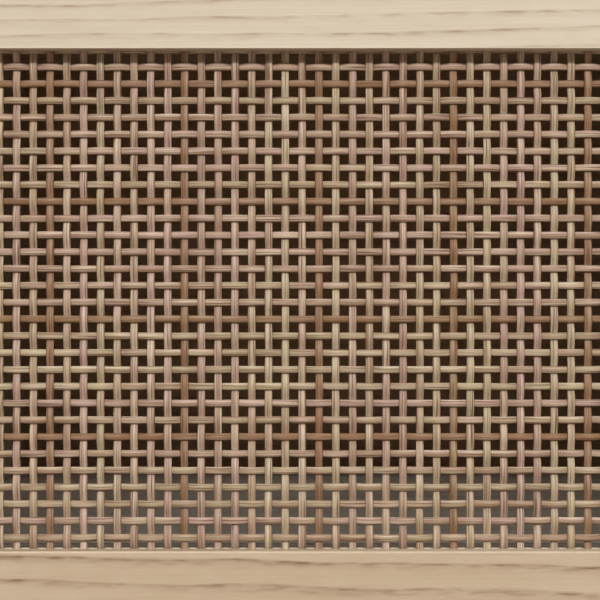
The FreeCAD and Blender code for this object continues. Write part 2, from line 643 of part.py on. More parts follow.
def left_beads():
    """The four beads that hold the webbing in the rebate: two along the rails, two between those."""
    rebate = webbing_rebate().BoundBox
    front_y = DOOR_FRONT_Y + FRAME_LIP + WEBBING_THICKNESS + BEAD_FIT
    x0, x1 = rebate.XMin + BEAD_FIT, rebate.XMax - BEAD_FIT
    z0, z1 = rebate.ZMin + BEAD_FIT, rebate.ZMax - BEAD_FIT
    low = box(x0, x1, front_y, DOOR_BACK_Y, z0, SIGHT_Z0)
    high = box(x0, x1, front_y, DOOR_BACK_Y, SIGHT_Z1, z1)
    left = box(x0, SIGHT_X0, front_y, DOOR_BACK_Y, SIGHT_Z0, SIGHT_Z1)
    right = box(SIGHT_X1, x1, front_y, DOOR_BACK_Y, SIGHT_Z0, SIGHT_Z1)
    return [
        eased(low, BEAD_ROUND, edges_on(low, "x", y=DOOR_BACK_Y, z=SIGHT_Z0)),
        eased(high, BEAD_ROUND, edges_on(high, "x", y=DOOR_BACK_Y, z=SIGHT_Z1)),
        eased(left, BEAD_ROUND, edges_on(left, "z", x=SIGHT_X0, y=DOOR_BACK_Y)),
        eased(right, BEAD_ROUND, edges_on(right, "z", x=SIGHT_X1, y=DOOR_BACK_Y)),
    ]


def left_bumpers():
    """The two soft dots on the closing stile that the left door shuts against."""
    thickness = Vector(0, DOOR_GAP - BUMPER_CLEARANCE, 0)
    heights = (BOTTOM_Z1 + BUMPER_END_INSET, DOOR_Z1 - BUMPER_END_INSET)
    seats = [Vector(DIVIDER_CENTRE_X, DOOR_BACK_Y, z) for z in heights]
    return [rod(BUMPER_RADIUS, seat, seat.add(thickness)) for seat in seats]


# Knob and its screw

def knob_hole():
    """The hole through the closing stile for the knob screw, sunk at the back for its head."""
    front = Vector(KNOB_X, DOOR_FRONT_Y, KNOB_Z)
    back = Vector(KNOB_X, DOOR_BACK_Y, KNOB_Z)
    sink = Vector(KNOB_X, DOOR_BACK_Y - KNOB_SCREW_SINK, KNOB_Z)
    return union(
        rod(KNOB_SCREW_RADIUS + KNOB_SCREW_FIT, front, back),
        rod(KNOB_SCREW_HEAD_RADIUS + KNOB_SCREW_FIT, sink, back),
    )


def left_knob():
    """A turned knob: foot, neck and a head undercut for the fingers, threaded blind from behind."""
    crown_y = DOOR_FRONT_Y - KNOB_PROJECTION
    rim_y = crown_y + KNOB_FACE_CHAMFER
    undercut_y = rim_y + KNOB_RIM
    base_y = DOOR_FRONT_Y - KNOB_BASE_THICKNESS
    outline = Part.makePolygon([
        Vector(0, crown_y, 0),
        Vector(KNOB_FACE_RADIUS, crown_y, 0),
        Vector(KNOB_HEAD_RADIUS, rim_y, 0),
        Vector(KNOB_HEAD_RADIUS, undercut_y, 0),
        Vector(KNOB_NECK_RADIUS, undercut_y + KNOB_UNDERCUT, 0),
        Vector(KNOB_NECK_RADIUS, base_y - KNOB_FOOT_FLARE, 0),
        Vector(KNOB_BASE_RADIUS, base_y, 0),
        Vector(KNOB_BASE_RADIUS, DOOR_FRONT_Y, 0),
        Vector(0, DOOR_FRONT_Y, 0),
        Vector(0, crown_y, 0),
    ])
    turned = Part.Face(outline).revolve(Vector(0, 0, 0), Vector(0, 1, 0), 360)
    turned.translate(Vector(KNOB_X, 0, KNOB_Z))
    thread_end = Vector(KNOB_X, DOOR_FRONT_Y - KNOB_SCREW_GRIP - HOLE_END_GAP, KNOB_Z)
    return turned.cut(rod(KNOB_SCREW_RADIUS + JOINT_FIT, thread_end, Vector(KNOB_X, DOOR_FRONT_Y, KNOB_Z)))


def left_knob_screw():
    """The screw that holds the knob from behind."""
    tip = Vector(KNOB_X, DOOR_FRONT_Y - KNOB_SCREW_GRIP, KNOB_Z)
    head_front = Vector(KNOB_X, DOOR_BACK_Y - KNOB_SCREW_SINK, KNOB_Z)
    head_back = head_front.add(Vector(0, KNOB_SCREW_HEAD, 0))
    return union(rod(KNOB_SCREW_RADIUS, tip, head_front), rod(KNOB_SCREW_HEAD_RADIUS, head_front, head_back))


# Butt hinges

class Hinge:
    """One butt hinge of the left door. Its knuckles belong to the frame and to the door by turns."""

    def __init__(self, z0):
        self.z0 = z0
        self.pitch = HINGE_LENGTH / HINGE_KNUCKLES

    def knuckle_span(self, index):
        """The lower and upper end of one knuckle."""
        low = self.z0 + index * self.pitch
        return low + HINGE_KNUCKLE_GAP / 2, low + self.pitch - HINGE_KNUCKLE_GAP / 2

    def leaf(self, y0, y1, own):
        """A leaf between two depths with its own knuckles, notched clear of the other leaf's."""
        inner_x = SIDE_OUTER_X + HINGE_LEAF_WIDTH
        notch_x = HINGE_X + HINGE_BARREL_RADIUS + HINGE_BARREL_CLEARANCE
        plate = box(notch_x, inner_x, y0, y1, self.z0, self.z0 + HINGE_LENGTH)
        pieces = []
        for index in own:
            low, high = self.knuckle_span(index)
            foot, head = Vector(HINGE_X, HINGE_Y, low), Vector(HINGE_X, HINGE_Y, high)
            pieces.append(rod(HINGE_BARREL_RADIUS, foot, head))
            pieces.append(box(HINGE_X, notch_x, y0, y1, low, high))
        return union(plate, *pieces).cut(self.bore())

    def bore(self):
        """The hole for the pin through every knuckle."""
        low, high = Vector(HINGE_X, HINGE_Y, self.z0), Vector(HINGE_X, HINGE_Y, self.z0 + HINGE_LENGTH)
        return rod(HINGE_PIN_RADIUS + HINGE_PIN_FIT, low, high)

    def frame_leaf(self):
        """The leaf on the front edge of the side panel."""
        odd = range(0, HINGE_KNUCKLES, 2)
        return self.leaf(CARCASS_FRONT_Y - HINGE_LEAF_THICKNESS, CARCASS_FRONT_Y, odd)

    def door_leaf(self):
        """The leaf on the back of the hinge stile."""
        even = range(1, HINGE_KNUCKLES, 2)
        return self.leaf(DOOR_BACK_Y, DOOR_BACK_Y + HINGE_LEAF_THICKNESS, even)

    def pin(self):
        """The pin, with a head that rests on the uppermost knuckle."""
        foot = Vector(HINGE_X, HINGE_Y, self.z0)
        seat = foot.add(Vector(0, 0, HINGE_LENGTH))
        crown = seat.add(Vector(0, 0, HINGE_PIN_HEAD))
        head = rod(HINGE_BARREL_RADIUS, seat, crown)
        return union(rod(HINGE_PIN_RADIUS, foot, seat), head)


# Magnetic catch

def left_catch_poles():
    """The two steel pole plates of the catch, which reach out to the strike plate."""
    reach_y = DOOR_BACK_Y + STRIKE_THICKNESS + CATCH_AIR_GAP
    rear_y = CARCASS_FRONT_Y + CATCH_FRONT_SETBACK + CATCH_DEPTH / 2
    poles = []
    for side in (-1, 1):
        z = CATCH_Z + side * (CATCH_POLE_SPACING - CATCH_POLE_THICKNESS) / 2
        poles.append(box(
            CATCH_X - CATCH_POLE_LENGTH / 2, CATCH_X + CATCH_POLE_LENGTH / 2, reach_y, rear_y,
            z - CATCH_POLE_THICKNESS / 2, z + CATCH_POLE_THICKNESS / 2,
        ))
    return poles


def left_catch_body():
    """The moulded body of the catch under the top panel, slotted for its pole plates."""
    front_y = CARCASS_FRONT_Y + CATCH_FRONT_SETBACK
    body = box(
        CATCH_X - CATCH_LENGTH / 2, CATCH_X1, front_y, front_y + CATCH_DEPTH, TOP_Z0 - CATCH_HEIGHT, TOP_Z0,
    )
    lower = edges_on(body, "y", z=TOP_Z0 - CATCH_HEIGHT) + edges_on(body, "x", z=TOP_Z0 - CATCH_HEIGHT)
    return eased(body, CATCH_ROUND, lower).cut(left_catch_poles())


# Export, node by node

def export_carcass():
    """Writes the panels, the shelf and the fittings that hold them together."""
    export("top_panel", top_panel())
    export("bottom_panel", bottom_panel())
    export("left_side_panel", left_side_panel())
    export("right_side_panel", mirrored(left_side_panel()))
    export("left_divider", left_divider())
    export("right_divider", mirrored(left_divider()))
    export("left_back_panel", left_back_panel())
    export("right_back_panel", mirrored(left_back_panel()))
    export("centre_back_panel", centre_back_panel())
    export("cable_grommet", cable_grommet())
    export("centre_shelf", centre_shelf())
    export("shelf_pins", *both([shelf_pin(y) for y in SHELF_PIN_YS]))
    export("carcass_dowels", *both([dowel for pairs in carcass_dowels().values() for dowel, hole in pairs]))
    cams = side_cams() + divider_cams()
    export("cam_discs", *both([cam["disc"] for cam in cams]))
    export("cam_bolts", *both([cam["bolt"] for cam in cams]))
    export("divider_screws", *both([divider_screw(y)[0] for y in DIVIDER_SCREW_YS]))


def export_base():
    """Writes the legs and what holds them."""
    for name, leg in LEGS.items():
        export(name, leg.turned_leg())
    export("leg_plates", *[leg.plate() for leg in LEGS.values()])
    export("hanger_bolts", *[leg.hanger_bolt() for leg in LEGS.values()])
    export("foot_glides", *[leg.glide() for leg in LEGS.values()])


def export_doors():
    """Writes both doors with their hinges, knobs and catches."""
    hinges = [Hinge(z) for z in HINGE_ZS]
    nodes = {
        "door_top_rail": [left_rail("top")],
        "door_bottom_rail": [left_rail("bottom")],
        "door_hinge_stile": [left_stile("hinge")],
        "door_closing_stile": [left_stile("closing")],
        "door_webbing": [left_webbing()],
        "door_beads": left_beads(),
        "door_bumpers": left_bumpers(),
        "knob": [left_knob()],
        "knob_screw": [left_knob_screw()],
        "strike_plate": [left_strike_plate()],
        "hinge_door_leaves": [hinge.door_leaf() for hinge in hinges],
        "hinge_frame_leaves": [hinge.frame_leaf() for hinge in hinges],
        "hinge_pins": [hinge.pin() for hinge in hinges],
        "catch_body": [left_catch_body()],
        "catch_poles": left_catch_poles(),
    }
    for name, solids in nodes.items():
        export("left_" + name, *solids)
        export("right_" + name, *[mirrored(solid) for solid in solids])


def main():
    """Builds every node."""
    os.makedirs("parts", exist_ok=True)
    export_carcass()
    export_base()
    export_doors()


main()
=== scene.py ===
"""Dresses the TV stand: reed webbing, pale wood, brass and steel fittings, and a plain studio around it.

Everything is in metres in the stand's own frame: +X to the right, +Y to the back, +Z up, floor at zero.
"""

from __future__ import annotations

import json
import logging
import math
from abc import ABC, abstractmethod
from dataclasses import dataclass, replace
from enum import Enum
from functools import cache
from typing import ClassVar, Iterable, Mapping, Sequence, Union

import bmesh
import bpy
from mathutils import Color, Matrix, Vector

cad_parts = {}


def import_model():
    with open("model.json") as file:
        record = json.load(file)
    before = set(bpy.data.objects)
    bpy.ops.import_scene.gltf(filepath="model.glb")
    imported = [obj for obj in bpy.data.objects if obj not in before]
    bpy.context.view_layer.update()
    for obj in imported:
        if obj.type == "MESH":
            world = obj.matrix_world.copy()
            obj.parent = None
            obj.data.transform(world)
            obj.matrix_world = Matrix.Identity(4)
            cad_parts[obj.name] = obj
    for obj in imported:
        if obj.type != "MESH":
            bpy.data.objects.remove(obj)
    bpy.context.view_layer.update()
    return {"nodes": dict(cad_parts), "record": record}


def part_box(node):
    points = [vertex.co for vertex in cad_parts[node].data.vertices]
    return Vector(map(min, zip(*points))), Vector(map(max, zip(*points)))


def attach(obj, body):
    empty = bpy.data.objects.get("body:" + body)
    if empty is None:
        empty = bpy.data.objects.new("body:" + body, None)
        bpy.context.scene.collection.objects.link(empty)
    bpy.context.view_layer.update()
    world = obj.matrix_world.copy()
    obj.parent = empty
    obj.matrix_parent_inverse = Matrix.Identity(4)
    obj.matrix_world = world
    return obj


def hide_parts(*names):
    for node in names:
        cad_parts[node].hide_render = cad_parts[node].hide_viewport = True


LOG = logging.getLogger("tv_stand")
MM = 0.001

Colour = tuple[float, float, float, float]
Place = tuple[float, float, float]
Span = tuple[float, float]
Ramp = tuple[float, ...]
Socket = bpy.types.NodeSocket
Value = Union[Socket, list[Socket], float, int, str, Sequence[float], bpy.types.Material]
Inputs = Mapping[Union[str, int], Value]
Look = tuple[Value, Socket, Socket]


class Axis(Enum):
    """The way that a piece's grain runs, and the order that puts that axis first."""

    X = "XYZ"
    Z = "ZXY"


class Side(Enum):
    """A door, by the sign of its place along X."""

    LEFT = -1
    RIGHT = 1

    @property
    def label(self) -> str:
        """The first word of the names of this side's pieces."""
        return self.name.lower()


class Facing(Enum):
    """The way that a face looks."""

    FRONT = (0, -1, 0)
    BACK = (0, 1, 0)
    DOWN = (0, 0, -1)


def srgb(red: int, green: int, blue: int) -> Colour:
    """Turns screen values from 0 to 255 into the linear colour that shaders take."""
    linear = Color((red / 255, green / 255, blue / 255)).from_srgb_to_scene_linear()
    return linear.r, linear.g, linear.b, 1.0


def corners(node: str) -> tuple[Vector, Vector]:
    """Gives the lowest and the highest corner of a CAD node's box."""
    low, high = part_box(node)
    return Vector(low), Vector(high)


def face(node: str, facing: Facing) -> Vector:
    """Gives the middle of the side of a CAD node's box that looks one way."""
    low, high = corners(node)
    return (low + high + (high - low) * Vector(facing.value)) / 2


def both(*names: str) -> list[str]:
    """Gives the full names of pieces that each side has."""
    return [f"{side.label}_{name}" for side in Side for name in names]


def new_object(name: str, data: bpy.types.ID) -> bpy.types.Object:
    """Makes an object and links it into the scene.

    Args:
        name: The object's name.
        data: Its mesh, lamp or camera.

    Returns:
        The object.
    """
    piece = bpy.data.objects.new(name, data)
    bpy.context.scene.collection.objects.link(piece)
    return piece


def turn_outwards(piece: bpy.types.Object) -> None:
    """Turns a closed piece's faces outwards.

    Args:
        piece: The mesh object.
    """
    work = bmesh.new()
    work.from_mesh(piece.data)
    bmesh.ops.recalc_face_normals(work, faces=work.faces)
    work.to_mesh(piece.data)
    work.free()


class Graph:
    """Adds nodes to one node tree and links them."""

    def __init__(self, tree: bpy.types.NodeTree) -> None:
        """Keeps the tree that the nodes go to."""
        self.tree = tree

    def feed(self, socket: Socket, value: Value) -> None:
        """Links an output, or a list of them, into an input, or sets the input's plain value.

        Args:
            socket: The input.
            value: The output or outputs to link, or the plain value.
        """
        if isinstance(value, list):
            for part in value:
                self.feed(socket, part)
        elif isinstance(value, Socket):
            self.tree.links.new(value, socket)
        else:
            socket.default_value = value

    def add(self, kind: str, inputs: Inputs | None = None, **settings: object) -> bpy.types.Node:
        """Adds one node.

        Args:
            kind: The node's type name.
            inputs: Values or sockets for its inputs, by name or number.
            settings: Properties to set on the node before its inputs.

        Returns:
            The new node.
        """
        node = self.tree.nodes.new(kind)
        for name, value in settings.items():
            setattr(node, name, value)
        for key, value in (inputs or {}).items():
            self.feed(node.inputs[key], value)
        return node

    def out(self, kind: str, inputs: Inputs | None = None, **settings: object) -> Socket:
        """Adds one node and returns the first output that it fills."""
        return next(socket for socket in self.add(kind, inputs, **settings).outputs if socket.enabled)

    def effect(self, kind: type[SharedTree], inputs: Inputs) -> Socket:
        """Places a shared shader group and returns its output."""
        return self.out("ShaderNodeGroup", inputs, node_tree=kind.build())

    def attribute(self, name: str) -> Socket:
        """Reads a number that the mesh stores under a name."""
        return self.add("ShaderNodeAttribute", attribute_name=name).outputs["Fac"]

    def math(self, operation: str, first: Value, second: Value = 0.0) -> Socket:
        """Adds a Math node and returns its output."""
        return self.out("ShaderNodeMath", {0: first, 1: second}, operation=operation)

    def vector(self, operation: str, first: Value, second: Value = (0, 0, 0)) -> Socket:
        """Adds a Vector Math node and returns its output."""
        return self.out("ShaderNodeVectorMath", {0: first, 1: second}, operation=operation)

    def split(self, vector: Value) -> bpy.types.NodeOutputs:
        """Takes a vector apart and returns the outputs X, Y and Z."""
        return self.add("ShaderNodeSeparateXYZ", {"Vector": vector}).outputs

    def join(self, x: Value = 0.0, y: Value = 0.0, z: Value = 0.0) -> Socket:
        """Puts a vector together from its three parts."""
        return self.out("ShaderNodeCombineXYZ", {"X": x, "Y": y, "Z": z})

    def centred(self, share: Value) -> Socket:
        """Shifts a share, so that its middle comes to zero."""
        return self.math("SUBTRACT", share, 0.5)

    def remap(self, value: Value, low: float, high: float, least: float = 0.0, most: float = 1.0) -> Socket:
        """Maps one range onto another and returns the result, clamped."""
        ranges = {"From Min": low, "From Max": high, "To Min": least, "To Max": most}
        return self.out("ShaderNodeMapRange", {"Value": value, **ranges})

    def layered(self, ground: Value, *layers: tuple[Value, Value]) -> Value:
        """Lays colours over a ground, one after another.

        Args:
            ground: The lowest colour.
            layers: The share and the colour of each layer.

        Returns:
            The mixture.
        """
        for share, colour in layers:
            inputs = {"Factor": share, "A": ground, "B": colour}
            ground = self.out("ShaderNodeMix", inputs, data_type="RGBA")
        return ground


class SharedTree(ABC):
    """A node tree that is built once, when it is first asked for."""

    KIND: ClassVar[str] = "ShaderNodeTree"
    NAME: ClassVar[str]
    INPUTS: ClassVar[Mapping[str, Sequence[str]]]
    OUTPUT: ClassVar[tuple[str, str]]

    def __init__(self, tree: bpy.types.NodeTree) -> None:
        """Starts the graph and keeps the outputs of its input node."""
        self.graph = Graph(tree)
        self.given = self.graph.add("NodeGroupInput").outputs

    @abstractmethod
    def result(self) -> Socket:
        """Adds the tree's nodes and returns what it puts out."""

    @classmethod
    def build(cls) -> bpy.types.NodeTree:
        """Finds the tree, or builds it.

        Returns:
            The tree.
        """
        tree = bpy.data.node_groups.get(cls.NAME)
        if not tree:
            tree = bpy.data.node_groups.new(cls.NAME, cls.KIND)
            kind, label = cls.OUTPUT
            tree.interface.new_socket(label, in_out="OUTPUT", socket_type=f"NodeSocket{kind}")
            for kind, names in cls.INPUTS.items():
                for name in names:
                    tree.interface.new_socket(name, in_out="INPUT", socket_type=f"NodeSocket{kind}")
            maker = cls(tree)
            maker.graph.add("NodeGroupOutput", {label: maker.result()})
        return tree


class Streaks(SharedTree):
    """Long fibres: noise that is drawn out along the grain, which is the vector's X."""

    NAME = "fibre streaks"
    INPUTS = {"Vector": ("Vector",), "Float": ("Length", "Width", "Detail")}
    OUTPUT = ("Float", "Streak")
    ROUGHNESS = 0.6

    def result(self) -> Socket:
        """Stretches the noise.

        Returns:
            Its value, which is about 0.5.
        """
        graph, given = self.graph, self.given
        along, across = (graph.math("DIVIDE", 1.0, given[name]) for name in ("Length", "Width"))
        place = graph.vector("MULTIPLY", given["Vector"], graph.join(along, across, across))
        inputs = {"Vector": place, "Scale": 1.0, "Detail": given["Detail"], "Roughness": self.ROUGHNESS}
        return graph.out("ShaderNodeTexNoise", inputs)


class Rings(SharedTree):
    """Growth rings: bands about a far heart, wavy along the grain, sharp on one side."""

    NAME = "growth rings"
    INPUTS = {"Vector": ("Vector",), "Float": ("Spacing", "Slope")}
    OUTPUT = ("Float", "Ring")
    HEART = (0.0, 0.05, -0.14)
    ACROSS = (0, 1, 1)
    WAVE = {"Length": 130 * MM, "Width": 20.8 * MM, "Detail": 2.0}
    WAVINESS = 0.9
    LATE_POWER = 6.0
    EARLY_SHARE = 0.09

    def result(self) -> Socket:
        """Counts the rings out from the heart.

        Returns:
            How dark each place in a ring is.
        """
        graph, place, spacing = self.graph, self.given["Vector"], self.given["Spacing"]
        wave = graph.effect(Streaks, {"Vector": place, **self.WAVE})
        shift = graph.math("MULTIPLY", graph.centred(wave), graph.math("MULTIPLY", spacing, self.WAVINESS))
        away = graph.vector("MULTIPLY", graph.vector("SUBTRACT", place, self.HEART), self.ACROSS)
        lean = graph.math("MULTIPLY", graph.split(place)["X"], self.given["Slope"])
        reach = graph.math("ADD", graph.math("ADD", graph.vector("LENGTH", away), shift), lean)
        share = graph.math("FRACT", graph.math("DIVIDE", reach, spacing))
        late = graph.math("POWER", share, self.LATE_POWER)
        return graph.math("MAXIMUM", late, graph.remap(share, 0.0, self.EARLY_SHARE, 1.0, 0.0))


class EdgeWearAndHighlight(SharedTree):
    """Edges that take wear and a painted highlight: places where the surface turns within a small reach."""

    NAME = "edge wear and highlight"
    INPUTS = {"Vector": ("Vector",), "Float": ("Reach",)}
    OUTPUT = ("Float", "Edge")
    SAMPLES = 4
    TURN = (0.985, 0.86)
    BREAK_SIZE = {"Scale": 160.0, "Detail": 3.0}
    BREAKS = (0.2, 0.6, 0.4, 1.0)

    def result(self) -> Socket:
        """Finds the edges and breaks them up with noise.

        Returns:
            How much wear each place shows, and how much painted highlight it takes.
        """
        graph = self.graph
        soft = graph.out("ShaderNodeBevel", {"Radius": self.given["Reach"]}, samples=self.SAMPLES)
        turn = graph.vector("DOT_PRODUCT", soft, graph.add("ShaderNodeNewGeometry").outputs["Normal"])
        broken = graph.out("ShaderNodeTexNoise", {"Vector": self.given["Vector"], **self.BREAK_SIZE})
        return graph.math("MULTIPLY", graph.remap(turn, *self.TURN), graph.remap(broken, *self.BREAKS))


@dataclass(frozen=True)
class Streak:
    """The size of some streaks, and the ramp that turns their noise into a share."""

    length: float
    width: float
    detail: float
    ramp: Ramp = (0.0, 1.0)


class Surface:
    """A material in the making, with coordinates that have the grain along X."""

    def __init__(self, name: str, axis: Axis, roughness: float) -> None:
        """Starts the material.

        Args:
            name: The material's name.
            axis: The way that the grain runs.
            roughness: The shader's plain roughness.
        """
        self.axis = axis
        self.material = bpy.data.materials.new(name)
        self.material.use_nodes = True
        self.graph = Graph(self.material.node_tree)
        self.shader = self.graph.tree.nodes["Principled BSDF"]
        self.feed({"Roughness": roughness})
        parts = self.graph.split(self.graph.add("ShaderNodeTexCoord").outputs["Object"])
        self.place = self.graph.join(*(parts[part] for part in axis.value))

    def feed(self, inputs: Inputs) -> None:
        """Feeds inputs of the shader."""
        for label, value in inputs.items():
            self.graph.feed(self.shader.inputs[label], value)

    def noise(self, streak: Streak) -> Socket:
        """Places the noise of some streaks and returns its value, which is about 0.5."""
        sizes = {"Length": streak.length, "Width": streak.width, "Detail": streak.detail}
        return self.graph.effect(Streaks, {"Vector": self.place, **sizes})

    def share(self, streak: Streak) -> Socket:
        """Places some streaks and returns the share that their ramp gives."""
        return self.graph.remap(self.noise(streak), *streak.ramp)

    def worn_and_highlit(self, reach: float) -> Socket:
        """Returns the wear and painted highlight of the edges, within a reach of them."""
        return self.graph.effect(EdgeWearAndHighlight, {"Vector": self.place, "Reach": reach})


class Finish(ABC):
    """A look that pieces take. It is built once for each way of the grain."""

    GRAIN: ClassVar[Span] = (0.3, 0.7)
    METALLIC: ClassVar[float] = 0.0
    SPECULAR: ClassVar[float] = 0.5
    name: str
    roughness: float
    rougher: Span
    bump: Span

    @abstractmethod
    def look(self, surface: Surface) -> Look:
        """Adds the nodes of this finish.

        Args:
            surface: The material in the making.

        Returns:
            Its colour, the noise for its roughness, and the height of its bump.
        """

    @cache
    def material(self, axis: Axis) -> bpy.types.Material:
        """Builds the look for one way of the grain, when it is first asked for.

        Args:
            axis: The way that the grain runs.

        Returns:
            The material.
        """
        surface = Surface(f"{self.name} along {axis.name}", axis, self.roughness)
        colour, grain, height = self.look(surface)
        strength, depth = self.bump
        relief = {"Height": height, "Strength": strength, "Distance": depth}
        roughness = (self.roughness + more for more in self.rougher)
        surface.feed({
            "Base Color": colour, "Metallic": self.METALLIC, "Specular IOR Level": self.SPECULAR,
            "Roughness": surface.graph.remap(grain, *self.GRAIN, *roughness),
            "Normal": surface.graph.out("ShaderNodeBump", relief),
        })
        return surface.material


@dataclass(frozen=True)
class WoodFinish(Finish):
    """Pale wood under matt lacquer: mottled ground, rings with dark dashes, faint fibre, sanded edges with
    a painted highlight.
    """

    SPECULAR = 0.32
    name: str
    pale: Colour
    warm: Colour
    ring: Colour
    edge: Colour
    ring_spacing: float = 8.5 * MM
    ring_strength: float = 0.6
    ring_groove: float = 0.8
    slope: float = 0.02
    edge_reach: float = 0.9 * MM
    roughness: float = 0.52
    rougher: Span = (-0.06, 0.08)
    bump: Span = (0.2, 0.05 * MM)
    broad: Streak = Streak(220 * MM, 18 * MM, 2.0, (0.32, 0.68, 0.0, 0.6))
    mottle: Streak = Streak(12 * MM, 4 * MM, 5.0, (0.3, 0.7, 0.0, 0.4))
    presence: Streak = Streak(55 * MM, 9 * MM, 2.0, (0.36, 0.64, 0.2, 0.75))
    dashes: Streak = Streak(12 * MM, 2.2 * MM, 1.0, (0.46, 0.70, 0.0, 0.8))
    fibre: Streak = Streak(50 * MM, 0.45 * MM, 4.0, (0.45, 0.75, 0.0, 0.14))
    pores: Streak = Streak(5 * MM, 0.16 * MM, 1.0, (0.64, 0.78, 0.0, 0.12))

    def look(self, surface: Surface) -> Look:
        """Adds the ground, the rings, the fibre, the pores, and the sanded edges with their painted
        highlight.

        Args:
            surface: The material in the making.

        Returns:
            Its colour, the noise for its roughness, and the height of its bump.
        """
        graph = surface.graph
        ground = graph.math("ADD", surface.share(self.broad), surface.share(self.mottle))
        sizes = {"Spacing": self.ring_spacing, "Slope": self.slope}
        rings = graph.effect(Rings, {"Vector": surface.place, **sizes})
        shown = graph.math("ADD", surface.share(self.presence), surface.share(self.dashes))
        lines = graph.math("MULTIPLY", rings, shown)
        fibre = surface.noise(self.fibre)
        colour = graph.layered(
            self.pale,
            (ground, self.warm),
            (graph.math("MULTIPLY", lines, self.ring_strength), self.ring),
            (graph.remap(fibre, *self.fibre.ramp), self.ring),
            (surface.share(self.pores), self.ring),
            # Paler sanded edges, with a painted highlight along the arris.
            (surface.worn_and_highlit(self.edge_reach), self.edge),
        )
        height = graph.math("SUBTRACT", fibre, graph.math("MULTIPLY", lines, self.ring_groove))
        return colour, fibre, height


@dataclass(frozen=True)
class ReedFinish(Finish):
    """Natural reed: strands from straw to rose, some brown, in lanes of unlike fibre with dark lines."""

    SPECULAR = 0.3
    ACROSS = {Axis.X: "Z", Axis.Z: "Y"}
    name: str = "natural reed"
    straw: Colour = srgb(188, 172, 138)
    tan: Colour = srgb(186, 161, 135)
    rose: Colour = srgb(188, 156, 142)
    brown: Colour = srgb(138, 100, 66)
    dark_lane: Colour = srgb(153, 120, 93)
    light: Colour = srgb(214, 193, 167)
    dark: Colour = srgb(98, 64, 41)
    straw_to_tan: Ramp = (0.1, 0.5)
    tan_to_rose: Ramp = (0.5, 0.9)
    shaded: Ramp = (0.3, 1.0, 0.0, 0.45)
    patches: Streak = Streak(24 * MM, 5 * MM, 2.0, (0.3, 0.7, -0.5, 0.5))
    lanes: Streak = Streak(45 * MM, 1.3 * MM, 1.0, (0.52, 0.68, 0.0, 0.8))
    light_lanes: Ramp = (0.47, 0.32, 0.0, 0.85)
    fade: Streak = Streak(50 * MM, 3 * MM, 1.0, (0.3, 0.65, 0.5, 1.0))
    lines: Streak = Streak(35 * MM, 0.5 * MM, 1.0, (0.545, 0.66, 0.0, 0.9))
    line_groove: Ramp = (0.5, 0.7)
    fibre: Streak = Streak(12 * MM, 0.2 * MM, 3.0, (0.5, 0.72, 0.0, 0.5))
    light_fibre: Ramp = (0.46, 0.3, 0.0, 0.5)
    fibre_height: float = 0.6
    roughness: float = 0.48
    rougher: Span = (-0.05, 0.12)
    bump: Span = (0.5, 0.12 * MM)

    def look(self, surface: Surface) -> Look:
        """Adds the strands' tones, their lanes, their lines and their fibre.

        Args:
            surface: The material in the making.

        Returns:
            Its colour, the noise for its roughness, and the height of its bump.
        """
        graph = surface.graph
        turned = graph.split(surface.place)
        # The pattern lies in the door's plane, so a strand keeps it as it bends in and out.
        surface.place = graph.join(turned["X"], turned[self.ACROSS[surface.axis]])
        hue = graph.math("ADD", graph.attribute(StrandTree.TONE), surface.share(self.patches))
        lanes, lines, fibre = (surface.noise(streak) for streak in (self.lanes, self.lines, self.fibre))
        brown = graph.math("MULTIPLY", graph.attribute(StrandTree.BROWN), surface.share(self.fade))
        colour = graph.layered(
            self.straw,
            (graph.remap(hue, *self.straw_to_tan), self.tan),
            (graph.remap(hue, *self.tan_to_rose), self.rose),
            (graph.remap(graph.attribute(StrandTree.SHADE), *self.shaded), self.dark_lane),
            (graph.remap(lanes, *self.lanes.ramp), self.dark_lane),
            (graph.remap(lanes, *self.light_lanes), self.light),
            (brown, self.brown),
            (graph.remap(lines, *self.lines.ramp), self.dark),
            (graph.remap(fibre, *self.fibre.ramp), self.dark),
            (graph.remap(fibre, *self.light_fibre), self.light),
        )
        raised = graph.math("MULTIPLY", fibre, self.fibre_height)
        return colour, fibre, graph.math("SUBTRACT", raised, graph.remap(lines, *self.line_groove))


@dataclass(frozen=True)
class MetalFinish(Finish):
    """Metal with fine brush lines and a little tarnish. On fasteners it takes painted shade in the screw's
    cross and a painted contact shadow round the head.
    """

    METALLIC = 1.0
    name: str
    colour: Colour
    tarnish: Colour
    bright: Colour
    shadow: Colour = (0.03, 0.028, 0.025, 1.0)
    edge_reach: float = 0.3 * MM
    brush: Streak = Streak(20 * MM, 0.12 * MM, 2.0)
    cloud: Streak = Streak(12 * MM, 12 * MM, 4.0, (0.45, 0.75, 0.0, 0.6))
    roughness: float = 0.32
    rougher: Span = (-0.08, 0.12)
    bump: Span = (0.15, 0.02 * MM)

    def look(self, surface: Surface) -> Look:
        """Adds the brush lines, the tarnish, the bright edges, and the painted shade of fasteners.

        Args:
            surface: The material in the making.

        Returns:
            Its colour, the noise for its roughness, and the height of its bump.
        """
        brush = surface.noise(self.brush)
        colour = surface.graph.layered(
            self.colour,
            (surface.share(self.cloud), self.tarnish),
            (surface.worn_and_highlit(self.edge_reach), self.bright),
            # Painted shade on fasteners: the dark cross of the recess and the contact shadow round the
            # head.
            (surface.graph.attribute(FastenerTree.DRIVE), self.shadow),
        )
        return colour, brush, brush


@dataclass(frozen=True)
class MouldedFinish(Finish):
    """Moulded plastic or rubber with a fine spark-eroded grain."""

    name: str
    colour: Colour
    dusty: Colour
    grain: Streak = Streak(0.35 * MM, 0.35 * MM, 2.0)
    cloud: Streak = Streak(20 * MM, 20 * MM, 3.0, (0.4, 0.75, 0.0, 0.5))
    roughness: float = 0.55
    rougher: Span = (-0.08, 0.1)
    bump: Span = (0.3, 0.05 * MM)

    def look(self, surface: Surface) -> Look:
        """Adds the grain and the dusty clouds, and returns colour, noise and height."""
        grain = surface.noise(self.grain)
        return surface.graph.layered(self.colour, (surface.share(self.cloud), self.dusty)), grain, grain


